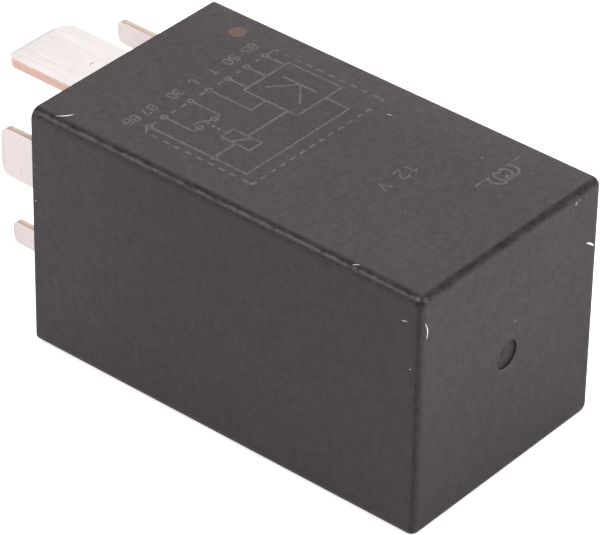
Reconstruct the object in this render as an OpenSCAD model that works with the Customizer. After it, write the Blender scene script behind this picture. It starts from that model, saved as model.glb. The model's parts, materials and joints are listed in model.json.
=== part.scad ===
// Glow plug controller: a timer relay in a plug-in box, lying on its side, in millimetres.
// X runs along the box: the blades point to -X and the closed end of the cover to +X.
// Each piece is drawn with the cover's rim at x = 0 and the box's axis at y = z = 0,
// and laid() then moves it so that the box lies on z = 0 with the whole part centred over the origin.

/* [Cover] */
// Length of the cover, from its open rim to the closed end
cover_l = 53.5; // [52:0.5:60]
// Width of the cover
cover_w = 30.4; // [29.4:0.2:34]
// Height of the cover as it lies
cover_h = 30.6; // [29.8:0.2:34]
// Thickness of the side walls
wall = 1.4; // [1.2:0.1:1.6]
// Thickness of the closed end
end_wall = 1.5; // [1.2:0.1:2]
// Radius of the four long edges
corner_r = 1.2; // [1.1:0.1:1.8]
// Radius round the closed end, smaller than that of the long edges
end_r = 1; // [0.4:0.1:1]
// Radius of the inside corners
inner_r = 0.5; // [0.2:0.1:0.8]
// Diameter of the sunk moulding gate in the closed end
gate_d = 3.6; // [2:0.2:6]
// Height of the sunk moulding gate above the box's axis
gate_z = 0.35; // [-6:0.05:6]
// Depth of the sunk moulding gate
gate_depth = 0.5; // [0.2:0.05:0.6]

/* [Base] */
// Thickness of the base plate
base_t = 4.4; // [4:0.2:5.4]
// Step in the wall that the base seats on
ledge = 0.4; // [0.3:0.1:0.6]
// Gap round the base plate
base_fit = 0.1; // [0.05:0.05:0.2]
// Height of the snap lugs on the base
lug_h = 0.45; // [0.3:0.05:0.5]
// Width of each snap lug
lug_w = 5; // [3:0.5:7]
// Distance of the snap lugs from the middle
lug_y = 7.5; // [6:0.5:9]
// Height of the posts that carry the yoke
post_h = 4.6; // [4:0.2:6]
// Thickness of the square posts
post_w = 2.4; // [1.6:0.2:3]

/* [Blades] */
// Length of the power blades outside the rim
blade_wide = 13.9; // [13.6:0.1:16]
// Length of the coil supply blades outside the rim
blade_long = 13.6; // [10:0.1:13.6]
// Length of the small blades outside the rim
blade_short = 10.8; // [8:0.2:13]
// Width of the two power blades
wide_w = 9.5; // [8:0.1:9.5]
// Thickness of the two power blades
wide_t = 1.2; // [1:0.1:1.4]
// Width of the two coil supply blades
mid_w = 6.3; // [5.6:0.1:7]
// Width of the three signal blades
small_w = 2.8; // [2.4:0.1:3.2]
// Thickness of all but the power blades
thin_t = 0.8; // [0.6:0.1:0.9]
// Distance of the power blades from the sides of the cover
wide_drop = 3.7; // [3.5:0.1:4]
// Sideways place of the lower power blade
lower_y = 4; // [3:0.25:4.5]
// Distance of the middle blades' outer faces from the axis
mid_y = 6.2; // [5.8:0.1:6.8]
// Distance of the near signal blade's outer face from the axis
near_y = 7.5; // [7:0.1:8.5]
// Height of the far lower signal blade from the axis
far_z = 5; // [4.8:0.1:5.8]
// Radius of a power blade's tip corners
wide_r = 1.7; // [0.6:0.1:2]
// Radius of a coil supply blade's tip corners
mid_r = 1.6; // [0.6:0.1:2]
// Radius of a signal blade's tip corners
small_r = 1.1; // [0.3:0.05:1.1]
// Length of the bevelled lead-in at a blade's tip
lead_l = 0.7; // [0.4:0.1:1.2]
// Gap round each blade in the base
slot_fit = 0.05; // [0.02:0.01:0.1]

/* [Circuit board] */
// Thickness of the board
board_t = 1.6; // [1.2:0.1:2]
// Room behind the board for the ends of the wires
board_back = 1.3; // [1.2:0.1:1.8]
// Gap between the board's long edges and the cover
board_edge = 0.5; // [0.3:0.1:0.7]
// Gap between the board's far end and the cover
board_end = 1.2; // [0.8:0.2:2]
// Depth that the board stands in the base
board_sunk = 1.2; // [0.8:0.2:2]
// Room between the board and the coil for small parts
part_room = 4.2; // [3.6:0.1:4.6]
// Diameter of the wire holes
hole_d = 1; // [0.9:0.05:1.1]
// Length of the wire ends behind the board
wire_out = 0.9; // [0.5:0.1:1]
// Diameter of the parts' wires
wire_d = 0.6; // [0.5:0.05:0.7]
// Distance of the axial parts' holes from the board's long edges
hole_edge = 1.54; // [1.2:0.02:2]
// Distance of the axial parts' inner holes from the board's middle
row_gap = 1.7; // [1.2:0.1:2.2]
// Spacing between rows of axial parts
row_step = 4; // [3.4:0.1:4]

/* [Relay magnet] */
// Thickness of the yoke's sheet
yoke_t = 2; // [1.6:0.1:2.2]
// Width of the yoke
yoke_w = 15; // [14:0.5:16]
// Room between the bobbin and the lower power blade
flange_room = 2.2; // [2:0.1:3]
// Room beyond the bobbin for the armature and the board's tall parts
far_room = 23; // [22:0.5:27]
// Wall of the bobbin's barrel
barrel_wall = 0.9; // [0.7:0.1:1.2]
// Depth of the winding below the flanges' edges
winding_sunk = 1.2; // [0.8:0.1:2.4]
// Share of the winding's diameter that is iron core
core_share = 0.5; // [0.4:0.01:0.52]
// Thickness of the pole head
head_t = 1.5; // [1.2:0.1:2]
// Diameter of the coil pins
pin_d = 0.8; // [0.6:0.05:0.85]

/* [Relay switch] */
// Angle between the open and the closed armature
open_angle = 4.5; // [3.5:0.1:5]
// Thickness of the armature
arm_t = 1.6; // [1.2:0.1:1.8]
// Radius of the rounded edge that the armature rocks on
ridge_r = 0.6; // [0.4:0.05:0.7]
// Play between the rounded edge and the armature's groove
hinge_fit = 0.05; // [0.03:0.01:0.08]
// Diameter of the contacts
contact_d = 3.6; // [3:0.1:4]
// Thickness of each contact
contact_h = 0.7; // [0.6:0.05:0.8]
// Width of the contact spring over the armature
leaf_w = 8; // [7:0.1:8.4]
// Thickness of the contact spring
leaf_t = 0.3; // [0.2:0.05:0.4]
// Width of the contact spring's fixed leg
leg_w = 4.2; // [3.6:0.1:4.6]
// Diameter of the copper braid
braid_d = 1.8; // [1.4:0.1:2]

/* [Hidden] */
$fn = 48;

// Overrun of a cutting shape, and small working gaps
over = 1;
small_gap = 0.1;
seat_gap = 0.3;
shank_fit = 0.05;

// Cover and base
rim_x = (blade_wide - cover_l) / 2;
inner_w = cover_w - 2 * wall;
inner_h = cover_h - 2 * wall;
mouth_w = inner_w + 2 * ledge;
mouth_h = inner_h + 2 * ledge;
cavity_l = cover_l - end_wall;
lug_x = 1.4;
lug_l = 1.8;
lug_flat = 0.3;
rib_t = 1.1;
rib_depth = 1.2;
rib_in = 10;
rib_x = base_t + rib_in;
gate_nub_d = 0.9;
gate_nub_h = 0.1;
moat = 0.8;
moat_depth = 0.4;

// Feet that carry the near blades' current across the base to the board
foot_rise = 0.5;
foot_x = base_t + foot_rise;
foot_bend = 0.4;
foot_w = 2;
foot_z = mid_w / 2 - foot_w / 2 - seat_gap;
tab_w = 1.2;
lap_l = 5;

// Blades: each is [lowest y, highest y, lowest z, highest z] where it passes the base
wide_z = cover_h / 2 - wide_drop - wide_t;
small_z = wide_z - seat_gap - foot_w / 2;
board_y = inner_w / 2 - board_back - board_t;
blade_30 = [-wide_w / 2, wide_w / 2, wide_z, wide_z + wide_t];
blade_87 = [lower_y - wide_w / 2, lower_y + wide_w / 2, -wide_z - wide_t, -wide_z];
blade_85 = [-mid_y, -mid_y + thin_t, -mid_w / 2, mid_w / 2];
blade_86 = [mid_y - thin_t, mid_y, -mid_w / 2, mid_w / 2];
blade_50 = [-near_y, -near_y + thin_t, -small_z - small_w / 2, -small_z + small_w / 2];
blade_l = [board_y - thin_t, board_y, small_z - small_w / 2, small_z + small_w / 2];
blade_t = [board_y - thin_t, board_y, -far_z - small_w / 2, -far_z + small_w / 2];
BLADES = [blade_30, blade_87, blade_85, blade_86, blade_50, blade_l, blade_t];
lead_share = 0.28;
shoulder = 0.8;
shoulder_l = 2;

// Fixed contact on the lower power blade, which sets where the armature ends
contact_in = 0.4;
contact_bevel = 0.3;
contact_peen = 0.3;
contact_gap = 0.06;
shank_d = 2;
tab_bend = 0.4;
tab_side = 2.1;
tab_half = contact_d / 2 + tab_side;
plate_l = 5;
contact_z = -wide_z + tab_bend + contact_d / 2;
arm_end_z = contact_z + contact_d / 2 + contact_in;

// Magnet: its axis runs along X through mag_y and mag_z
coil_gap = 0.2;
yoke_x = base_t + post_h;
yoke_top_z = wide_z;
yoke_low_z = yoke_top_z - yoke_t;
yoke_bend = 1.2;
yoke_reach = 7;
flange = 2 * wide_z - yoke_t - coil_gap - flange_room;
mag_y = board_y - part_room - flange / 2;
mag_z = yoke_low_z - coil_gap - flange / 2;
bobbin_x = yoke_x + yoke_t;
bobbin_l = cavity_l - bobbin_x - far_room;
bobbin_end = bobbin_x + bobbin_l;
low_flange_t = 2;
top_flange_t = 1;
flange_r = 1;
arm_over = 1;
head_d = 2 * (mag_z - arm_end_z - arm_over);
winding_d = flange - 2 * winding_sunk;
core_d = core_share * winding_d;
core_fit = 0.1;
barrel_d = core_d + 2 * core_fit + 2 * barrel_wall;
spigot_step = 1;
spigot_d = core_d - 2 * spigot_step;
peen = 0.4;
pole_x = bobbin_end + head_t;
pin_z = 5;
pin_sunk = 3;
post_in = 0.9;
post_y = yoke_w / 2 - post_w / 2 - post_in;
post_z = 4.6;

// Hinge of the armature, on the rounded end of the yoke
pole_gap = 0.05;
lift = 0.25;
arm_x = pole_x + pole_gap;
hinge_x = arm_x - lift;
hinge_z = yoke_top_z - yoke_t / 2;
heel = 0.8;
ear_w = 1.4;
ear_h = 2.4;
ear_gap = 0.4;
arm_w = yoke_w;
tongue_w = arm_w - 2 * ear_w - 2 * ear_gap;
arm_cut = 1.2;
arm_top = arm_x + arm_t - hinge_x;
arm_reach = hinge_z - arm_end_z;
stop_gap = 0.05;
stop_x = hinge_x + arm_top * cos(open_angle) + arm_reach * sin(open_angle) + stop_gap;
stop_side = 0.6;
stop_y = leaf_w / 2 + stop_side;
stop_w = 2.6;
stop_t = 0.9;
stop_over = 0.8;

// Contact spring: fixed leg outside the upper power blade, bend, and moving leg over the armature
leaf_x = arm_x + arm_t;
tab_top_x = leaf_x - 2 * contact_h - contact_gap;
tab_x = tab_top_x - wide_t;
leaf_z = wide_z + wide_t;
leaf_bend = 1.2;
bend_thin = 0.02;
bend_lap = 3;
leaf_over = 0.6;
leaf_end_z = contact_z - contact_d / 2 - leaf_over;
leg_side = 0.8;
leg_y = mag_y - leaf_w / 2 + leg_side;
leg_in = 3;
leg_x = yoke_x + leg_in;
bend_z = leaf_z - leaf_bend;
bend_x = hinge_x + (arm_top - leaf_bend - sin(open_angle) * (bend_z - hinge_z)) / cos(open_angle);
bend_reach = (bend_x - hinge_x) * sin(open_angle) - (bend_z - hinge_z) * cos(open_angle);
strip_edge = 0.05;
strip_y = leg_y - strip_edge;
strip_over = 4.7;
rivet_d = 2;
rivet_head_d = 3.4;
rivet_head_h = 0.6;
rivet_in = 2.6;
rivet_step = 6;
rivet_x = [leg_x + rivet_in, leg_x + rivet_in + rivet_step];
strip_x = rivet_x[1] + strip_over;
arm_rivet_y = 2.4;
arm_rivet_up = 3.5;
arm_rivet_z = mag_z + arm_rivet_up;
arm_rivet_sunk = 1;

// Braid, in one plane beside the spring's fixed leg
braid_side = 1;
braid_y = leg_y + leg_w + braid_side + braid_d / 2;
braid_z = leaf_z + small_gap + braid_d / 2;
braid_in = 1;
braid_x = leg_x + braid_in;
braid_turn = 2.5;
braid_drop = 2;
pad_w = braid_d + 2 * small_gap;
braid_room = 3.1;
braid_top = stop_x + braid_room;
braid_up = 0.7;
braid_end_z = arm_end_z + braid_up;

// Board, and where its parts stand on it
board_x = base_t - board_sunk;
board_far = cavity_l - board_end;
board_half = inner_h / 2 - board_edge;
bend_r = 0.8;
row_in = 7.5;
row_x = yoke_x + row_in;
axial_pitch = board_half - hole_edge - row_gap;
axial_z = row_gap + axial_pitch / 2;
AXIAL = [for (i = [0:8]) [row_x + floor(i / 2) * row_step, i % 2 == 0 ? -axial_z : axial_z]];
resistor_l = 6.3;
resistor_d = 2.1;
resistor_cap_d = 2.5;
resistor_cap_l = 1.2;
diode_l = 5.2;
diode_d = 2.6;
diode_end_d = 2.7;
diode_end_l = 0.6;
film_l = 7.2;
film_w = 2.4;
film_h = 6.5;
film_pitch = 5;
film_edge = 1.2;
film_z = board_half - film_edge - film_w / 2;
can_d = 8;
can_h = 11.5;
can_pitch = 3.5;
can_end = 1.6;
can_edge = 1.9;
can_x = board_far - can_end - can_d / 2;
can_z = -board_half + can_edge + can_d / 2;
chip_l = 9.6;
chip_w = 6.35;
chip_h = 3.3;
chip_row = 7.62;
chip_step = 2.54;
chip_end = 5.4;
chip_x = board_far - chip_end;
chip_z = (film_z - film_w / 2 + can_z + can_d / 2) / 2;
driver_room = 3;
driver_x = chip_x - chip_row / 2 - driver_room;
driver_z = axial_z;
driver_pitch = 2.54;
WIRE_HOLES = concat(
  [for (p = AXIAL, s = [-1, 1]) [p[0], p[1] + s * axial_pitch / 2]],
  [for (s = [-1, 1], i = [0:3]) [chip_x + s * chip_row / 2, chip_z + (i - 1.5) * chip_step]],
  [for (s = [-1, 1]) [can_x, can_z + s * can_pitch / 2]],
  [for (s = [-1, 1]) [chip_x + s * film_pitch / 2, film_z]],
  [for (s = [-1:1]) [driver_x, driver_z + s * driver_pitch]],
  [for (s = [-1, 1]) [bobbin_x + low_flange_t / 2, mag_z + s * pin_z]]);

// Colours
black_plastic = "#565153";
grey_plastic = "#3d3a3b";
tin = "#e6dfdb";
copper = "#b9714a";
steel = "#9a9c9f";
silver = "#d4d4d0";
board_green = "#3f6b45";

// Moves a piece from the box's own axes to where the part lies
module laid() {
  translate([rim_x, 0, cover_h / 2]) children();
}

// Draws a flat outline, given as y and z, and carries it along X
module along_x(x, length) {
  translate([x, 0, 0]) rotate([90, 0, 90]) linear_extrude(length) children();
}

// Draws a flat outline, given as x and z, and carries it along Y
module along_y(y, length) {
  translate([0, y + length, 0]) rotate([90, 0, 0]) linear_extrude(length) children();
}

// A turned piece round an axis that points to +X, from an outline of radius and length
module turned_x(x, y, z) {
  translate([x, y, z]) rotate([0, 90, 0]) rotate_extrude() children();
}

// A straight round bar along X, Y or Z from a point
module bar_x(p, d, length) {
  translate(p) rotate([0, 90, 0]) cylinder(d = d, h = length);
}

module bar_y(p, d, length) {
  translate(p) rotate([-90, 0, 0]) cylinder(d = d, h = length);
}

module bar_z(p, d, length) {
  translate(p) cylinder(d = d, h = length);
}

// A block between two corners
module block(low, high) {
  translate(low) cube(high - low);
}

module rounded_rect(w, h, r) {
  square([w - 2 * r, h], center = true);
  square([w, h - 2 * r], center = true);
  for (sy = [-1, 1], sz = [-1, 1])
    translate([sy * (w / 2 - r), sz * (h / 2 - r)]) circle(r);
}

// Section through a rounded end edge: outwards from the corner's centre, then along the box
module end_edge(r, round_r) {
  square([r - round_r, round_r]);
  intersection() {
    translate([r - round_r, 0]) circle(round_r);
    square([r, round_r]);
  }
}

// A box along X with rounded long edges and a rounded far end
module rounded_box(length, w, h, r, round_r) {
  straight = length - round_r;
  half_y = w / 2 - r;
  half_z = h / 2 - r;
  along_x(0, straight) rounded_rect(w, h, r);
  along_x(straight, round_r) square([2 * half_y, 2 * half_z], center = true);
  for (k = [0:3]) {
    across = k % 2 == 0 ? half_y : half_z;
    out = k % 2 == 0 ? half_z : half_y;
    rotate([90 * k, 0, 0]) {
      translate([straight, -across, out]) rotate([0, -90, -90])
        linear_extrude(2 * across) end_edge(r, round_r);
      translate([straight, across, out]) rotate([90, 0, 90])
        rotate_extrude(angle = 90) end_edge(r, round_r);
    }
  }
}

// Section of a snap lug: steep towards the rim, sloped towards the closed end
module lug_section(height, gap) {
  polygon([[lug_x - gap, -over], [lug_x + lug_l + gap, -over], [lug_x + lug_l + gap, 0],
           [lug_x + lug_flat + gap, height + gap], [lug_x - gap, height + gap]]);
}

// The four lugs, or with a gap the pockets that they snap into
module lugs(gap) {
  for (sy = [-1, 1], turn = [0, 180])
    rotate([turn, 0, 0])
      translate([0, sy * lug_y - lug_w / 2 - gap, mouth_h / 2 - base_fit])
        along_y(0, lug_w + 2 * gap) lug_section(lug_h, gap);
}

module cover() {
  color(black_plastic) laid() {
    difference() {
      rounded_box(cover_l, cover_w, cover_h, corner_r, end_r);
      along_x(-over, cavity_l + over) rounded_rect(inner_w, inner_h, inner_r);
      along_x(-over, base_t + over) rounded_rect(mouth_w, mouth_h, inner_r);
      lugs(small_gap);
      bar_x([cover_l - gate_depth, 0, gate_z], gate_d, gate_depth + over);
    }
    bar_x([cover_l - gate_depth, 0, gate_z], gate_nub_d, gate_nub_h);
    // Ribs that keep the board's edges in place
    for (s = [-1, 1])
      block([rib_x, board_y - small_gap - rib_t, s * inner_h / 2 - (s > 0 ? rib_depth : wall / 2)],
            [cavity_l, board_y - small_gap, s * inner_h / 2 + (s > 0 ? wall / 2 : rib_depth)]);
  }
}

module base() {
  color(grey_plastic) laid() difference() {
    union() {
      along_x(0, base_t)
        rounded_rect(mouth_w - 2 * base_fit, mouth_h - 2 * base_fit, inner_r);
      intersection() {
        lugs(0);
        block([0, -cover_w / 2, -cover_h / 2], [base_t, cover_w / 2, cover_h / 2]);
      }
      for (sy = [-1, 1], sz = [-1, 1])
        block([base_t - over, mag_y + sy * post_y - post_w / 2, mag_z + sz * post_z - post_w / 2],
              [yoke_x, mag_y + sy * post_y + post_w / 2, mag_z + sz * post_z + post_w / 2]);
    }
    // A slot for each blade, with a shallow sunk field round it on the outside
    for (b = BLADES) {
      block([-over, b[0] - slot_fit, b[2] - slot_fit], [base_t + over, b[1] + slot_fit, b[3] + slot_fit]);
      block([-over, b[0] - moat, b[2] - moat], [moat_depth, b[1] + moat, b[3] + moat]);
    }
    block([board_x, board_y - small_gap, -board_half - small_gap],
          [base_t + over, board_y + board_t + small_gap, board_half + small_gap]);
  }
}

// Outline of a blade from its rounded tip to where it ends, centred on its width
module blade_plan(out_l, in_l, w, r) {
  translate([-out_l + r, -w / 2]) square([out_l - r + in_l, w]);
  translate([-out_l, -w / 2 + r]) square([out_l + in_l, w - 2 * r]);
  for (s = [-1, 1])
    translate([-out_l + r, s * (w / 2 - r)]) circle(r);
}

// Side of a blade, with a bevel on both faces at its tip
module blade_side(out_l, in_l, t) {
  bevel = t * lead_share;
  polygon([[in_l, 0], [-out_l + lead_l, 0], [-out_l, bevel], [-out_l, t - bevel],
           [-out_l + lead_l, t], [in_l, t]]);
}

// A blade lying flat, as the power blades do
module flat_blade(b, out_l, in_l, r) {
  w = b[1] - b[0];
  t = b[3] - b[2];
  intersection() {
    translate([0, b[0] + w / 2, b[2]]) linear_extrude(t) blade_plan(out_l, in_l, w, r);
    translate([0, 0, b[2]]) along_y(b[0], w) blade_side(out_l, in_l, t);
  }
}

// A blade on edge, as the middle and signal blades stand
module edge_blade(b, out_l, in_l, r) {
  w = b[3] - b[2];
  t = b[1] - b[0];
  intersection() {
    translate([0, 0, b[2] + w / 2]) along_y(b[0], t) blade_plan(out_l, in_l, w, r);
    translate([0, b[0], b[2]]) linear_extrude(w) blade_side(out_l, in_l, t);
  }
}

// A quarter of a bent strip, seen along its bend: from below the centre to beside it
module bend_section(inner, t) {
  intersection() {
    difference() {
      circle(inner + t);
      circle(inner);
    }
    translate([0, -inner - t]) square(inner + t);
  }
}

// Strip that leaves a blade, bends over the base and ends in a tab through the board
module board_foot(b, z) {
  neck_x = foot_x - foot_bend;
  turn_y = b[1] + foot_bend;
  translate([0, 0, z - foot_w / 2]) linear_extrude(foot_w) {
    translate([base_t - over, b[0]]) square([neck_x - base_t + over, thin_t]);
    translate([neck_x, turn_y]) bend_section(foot_bend, thin_t);
    translate([foot_x, turn_y]) square([thin_t, board_y - turn_y]);
  }
  block([foot_x, board_y - over, z - tab_w / 2],
        [foot_x + thin_t, board_y + board_t + wire_out, z + tab_w / 2]);
}

module terminal_30() {
  color(tin) laid() difference() {
    union() {
      flat_blade(blade_30, blade_wide, base_t + shoulder_l, wide_r);
      block([base_t, min(blade_30[0], strip_y) - shoulder, blade_30[2]],
            [base_t + shoulder_l, max(blade_30[1], strip_y + wide_w) + shoulder, blade_30[3]]);
      // Strip that the yoke and the contact spring are riveted to
      block([base_t, strip_y, blade_30[2]], [strip_x, strip_y + wide_w, blade_30[3]]);
    }
    for (x = rivet_x)
      bar_z([x, leg_y + leg_w / 2, wide_z - over], rivet_d + 2 * shank_fit, wide_t + 2 * over);
  }
}

module terminal_87() {
  b = blade_87;
  turn_x = tab_x - tab_bend;
  turn_z = b[3] + tab_bend;
  left = mag_y - tab_half;
  color(tin) laid() difference() {
    union() {
      flat_blade(b, blade_wide, base_t + plate_l, wide_r);
      block([base_t, left, b[2]], [base_t + plate_l, b[1], b[3]]);
      block([base_t, left, b[2]], [turn_x, left + 2 * tab_half, b[3]]);
      along_y(left, 2 * tab_half) translate([turn_x, turn_z]) bend_section(tab_bend, wide_t);
      block([tab_x, left, turn_z], [tab_top_x, left + 2 * tab_half, contact_z + contact_d / 2]);
    }
    bar_x([tab_x - over, mag_y, contact_z], shank_d + 2 * shank_fit, wide_t + 2 * over);
  }
}

module terminal_85() {
  color(tin) laid() {
    edge_blade(blade_85, blade_long, base_t, mid_r);
    board_foot(blade_85, -foot_z);
  }
}

module terminal_86() {
  color(tin) laid() {
    edge_blade(blade_86, blade_long, base_t, mid_r);
    board_foot(blade_86, foot_z);
  }
}

module terminal_50() {
  color(tin) laid() {
    edge_blade(blade_50, blade_short, base_t, small_r);
    board_foot(blade_50, -small_z);
  }
}

// The two far signal blades run on inside and lie flat on the board
module terminal_l() {
  color(tin) laid() edge_blade(blade_l, blade_short, base_t + lap_l, small_r);
}

module terminal_t() {
  color(tin) laid() edge_blade(blade_t, blade_short, base_t + lap_l, small_r);
}

// L section of the yoke with a rounded outer bend
module yoke_section() {
  difference() {
    union() {
      translate([yoke_x, mag_z - yoke_reach])
        square([yoke_t, yoke_top_z - mag_z + yoke_reach]);
      translate([yoke_x, yoke_low_z]) square([hinge_x - yoke_x, yoke_t]);
    }
    difference() {
      translate([yoke_x - over, yoke_top_z - yoke_bend]) square(yoke_bend + over);
      translate([yoke_x + yoke_bend, yoke_top_z - yoke_bend]) circle(yoke_bend);
      translate([yoke_x + yoke_bend, yoke_top_z - yoke_bend - over]) square(yoke_bend + 2 * over);
    }
  }
}

module yoke() {
  color(steel) laid() difference() {
    union() {
      along_y(mag_y - yoke_w / 2, yoke_w) yoke_section();
      bar_y([hinge_x, mag_y - tongue_w / 2, hinge_z], 2 * ridge_r, tongue_w);
      // Ears that keep the armature from sliding sideways
      for (s = [-1, 1])
        block([hinge_x - over, mag_y + s * (yoke_w / 2 - ear_w / 2) - ear_w / 2, yoke_low_z],
              [hinge_x + ear_h, mag_y + s * (yoke_w / 2 - ear_w / 2) + ear_w / 2, yoke_top_z]);
    }
    bar_x([yoke_x - over, mag_y, mag_z], spigot_d + 2 * shank_fit, yoke_t + 2 * over);
    for (x = rivet_x)
      bar_z([x, leg_y + leg_w / 2, yoke_low_z - over], rivet_d + 2 * shank_fit, yoke_t + 2 * over);
  }
}

module core() {
  stem = peen + yoke_t;
  color(steel) laid() turned_x(yoke_x - peen, mag_y, mag_z)
    polygon([[0, 0], [spigot_d / 2 + peen, 0], [spigot_d / 2 + peen, peen], [spigot_d / 2, peen],
             [spigot_d / 2, stem], [core_d / 2, stem], [core_d / 2, stem + bobbin_l],
             [head_d / 2, stem + bobbin_l], [head_d / 2, stem + bobbin_l + head_t],
             [0, stem + bobbin_l + head_t]]);
}

// Bobbin, with two hooks on its upper flange that stop the opening armature
module bobbin() {
  stop_z = arm_end_z - seat_gap - stop_t;
  color("#d9d2c2") laid() difference() {
    union() {
      bar_x([bobbin_x, mag_y, mag_z], barrel_d, bobbin_l);
      translate([0, mag_y, mag_z]) {
        along_x(bobbin_x, low_flange_t) rounded_rect(flange, flange, flange_r);
        along_x(bobbin_end - top_flange_t, top_flange_t) rounded_rect(flange, flange, flange_r);
      }
      for (y = [mag_y - stop_y - stop_w, mag_y + stop_y]) {
        block([bobbin_end - top_flange_t, y, stop_z], [stop_x + stop_t, y + stop_w, stop_z + stop_t]);
        block([stop_x, y, stop_z], [stop_x + stop_t, y + stop_w, arm_end_z + stop_over]);
      }
    }
    bar_x([bobbin_x - over, mag_y, mag_z], core_d + 2 * core_fit, bobbin_l + 2 * over);
    for (s = [-1, 1])
      bar_y([bobbin_x + low_flange_t / 2, mag_y + flange / 2 - pin_sunk, mag_z + s * pin_z],
            pin_d + 2 * shank_fit, pin_sunk + over);
  }
}

module coil_winding() {
  start = low_flange_t + small_gap;
  end = bobbin_l - top_flange_t - small_gap;
  color(copper) laid() turned_x(bobbin_x, mag_y, mag_z)
    translate([barrel_d / 2 + shank_fit, start])
      square([(winding_d - barrel_d) / 2 - shank_fit, end - start]);
}

// Pin from the bobbin's lower flange through the board
module coil_pin(side) {
  start = mag_y + flange / 2 - pin_sunk;
  color(tin) laid()
    bar_y([bobbin_x + low_flange_t / 2, start, mag_z + side * pin_z], pin_d,
          board_y + board_t + wire_out - start);
}

// Turns what is drawn closed to where the armature rests, open
module opened() {
  translate([hinge_x, 0, hinge_z]) rotate([0, -open_angle, 0]) translate([-hinge_x, 0, -hinge_z])
    children();
}

module armature() {
  neck_z = yoke_low_z - ear_gap;
  color(steel) laid() opened() difference() {
    along_x(arm_x, arm_t) translate([mag_y, 0])
      polygon([[-arm_w / 2, arm_end_z + arm_cut], [-arm_w / 2 + arm_cut, arm_end_z],
               [arm_w / 2 - arm_cut, arm_end_z], [arm_w / 2, arm_end_z + arm_cut],
               [arm_w / 2, neck_z], [tongue_w / 2, neck_z], [tongue_w / 2, hinge_z + heel],
               [-tongue_w / 2, hinge_z + heel], [-tongue_w / 2, neck_z], [-arm_w / 2, neck_z]]);
    bar_y([hinge_x, mag_y - arm_w / 2, hinge_z], 2 * (ridge_r + hinge_fit), arm_w);
    for (s = [-1, 1])
      bar_x([leaf_x - arm_rivet_sunk, mag_y + s * arm_rivet_y, arm_rivet_z],
            rivet_d + 2 * shank_fit, arm_rivet_sunk + over);
  }
}

module contact_spring() {
  color("#c9a45c") laid() {
    difference() {
      block([leg_x, leg_y, leaf_z], [bend_x, leg_y + leg_w, leaf_z + leaf_t]);
      for (x = rivet_x)
        bar_z([x, leg_y + leg_w / 2, leaf_z - over], rivet_d + 2 * shank_fit, leaf_t + 2 * over);
    }
    // The sheet is slightly thinner in its bend, which laps into both legs
    translate([bend_x, leg_y + leg_w - bend_thin, bend_z]) rotate([90, 0, 0])
      rotate([0, 0, open_angle - bend_lap])
        rotate_extrude(angle = 90 - open_angle + 2 * bend_lap) translate([leaf_bend + bend_thin, 0])
          square([leaf_t - 2 * bend_thin, leg_w - 2 * bend_thin]);
    opened() difference() {
      union() {
        block([leaf_x, leg_y, hinge_z - over], [leaf_x + leaf_t, leg_y + leg_w, hinge_z - bend_reach]);
        block([leaf_x, mag_y - leaf_w / 2, leaf_end_z],
              [leaf_x + leaf_t, mag_y + leaf_w / 2, yoke_low_z]);
      }
      for (s = [-1, 1])
        bar_x([leaf_x - over, mag_y + s * arm_rivet_y, arm_rivet_z], rivet_d + 2 * shank_fit,
              leaf_t + 2 * over);
      bar_x([leaf_x - over, mag_y, contact_z], shank_d + 2 * shank_fit, leaf_t + 2 * over);
    }
  }
}

// A contact rivet: bevelled face, shank through a sheet and a low peened end
module contact_rivet(sheet) {
  r = contact_d / 2;
  polygon([[0, 0], [r - contact_bevel, 0], [r, contact_bevel], [r, contact_h], [shank_d / 2, contact_h],
           [shank_d / 2, contact_h + sheet], [shank_d / 2 + contact_peen, contact_h + sheet],
           [shank_d / 2, contact_h + sheet + contact_peen], [0, contact_h + sheet + contact_peen]]);
}

module moving_contact() {
  color(silver) laid() opened() turned_x(leaf_x - contact_h, mag_y, contact_z) contact_rivet(leaf_t);
}

module fixed_contact() {
  color(silver) laid() translate([tab_top_x + contact_h, mag_y, contact_z]) rotate([0, -90, 0])
    rotate_extrude() contact_rivet(wide_t);
}

// A rivet's outline: shank from its foot, then a low head with a bevelled rim
module rivet(shank_l) {
  polygon([[0, 0], [rivet_d / 2, 0], [rivet_d / 2, shank_l], [rivet_head_d / 2, shank_l],
           [rivet_head_d / 2 - rivet_head_h / 2, shank_l + rivet_head_h], [0, shank_l + rivet_head_h]]);
}

module armature_rivets() {
  color(steel) laid() opened()
    for (s = [-1, 1])
      turned_x(leaf_x - arm_rivet_sunk, mag_y + s * arm_rivet_y, arm_rivet_z)
        rivet(arm_rivet_sunk + leaf_t);
}

module yoke_rivets() {
  color(steel) laid()
    for (x = rivet_x)
      translate([x, leg_y + leg_w / 2, yoke_low_z]) rotate_extrude() rivet(yoke_t + wide_t + leaf_t);
}

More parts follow.
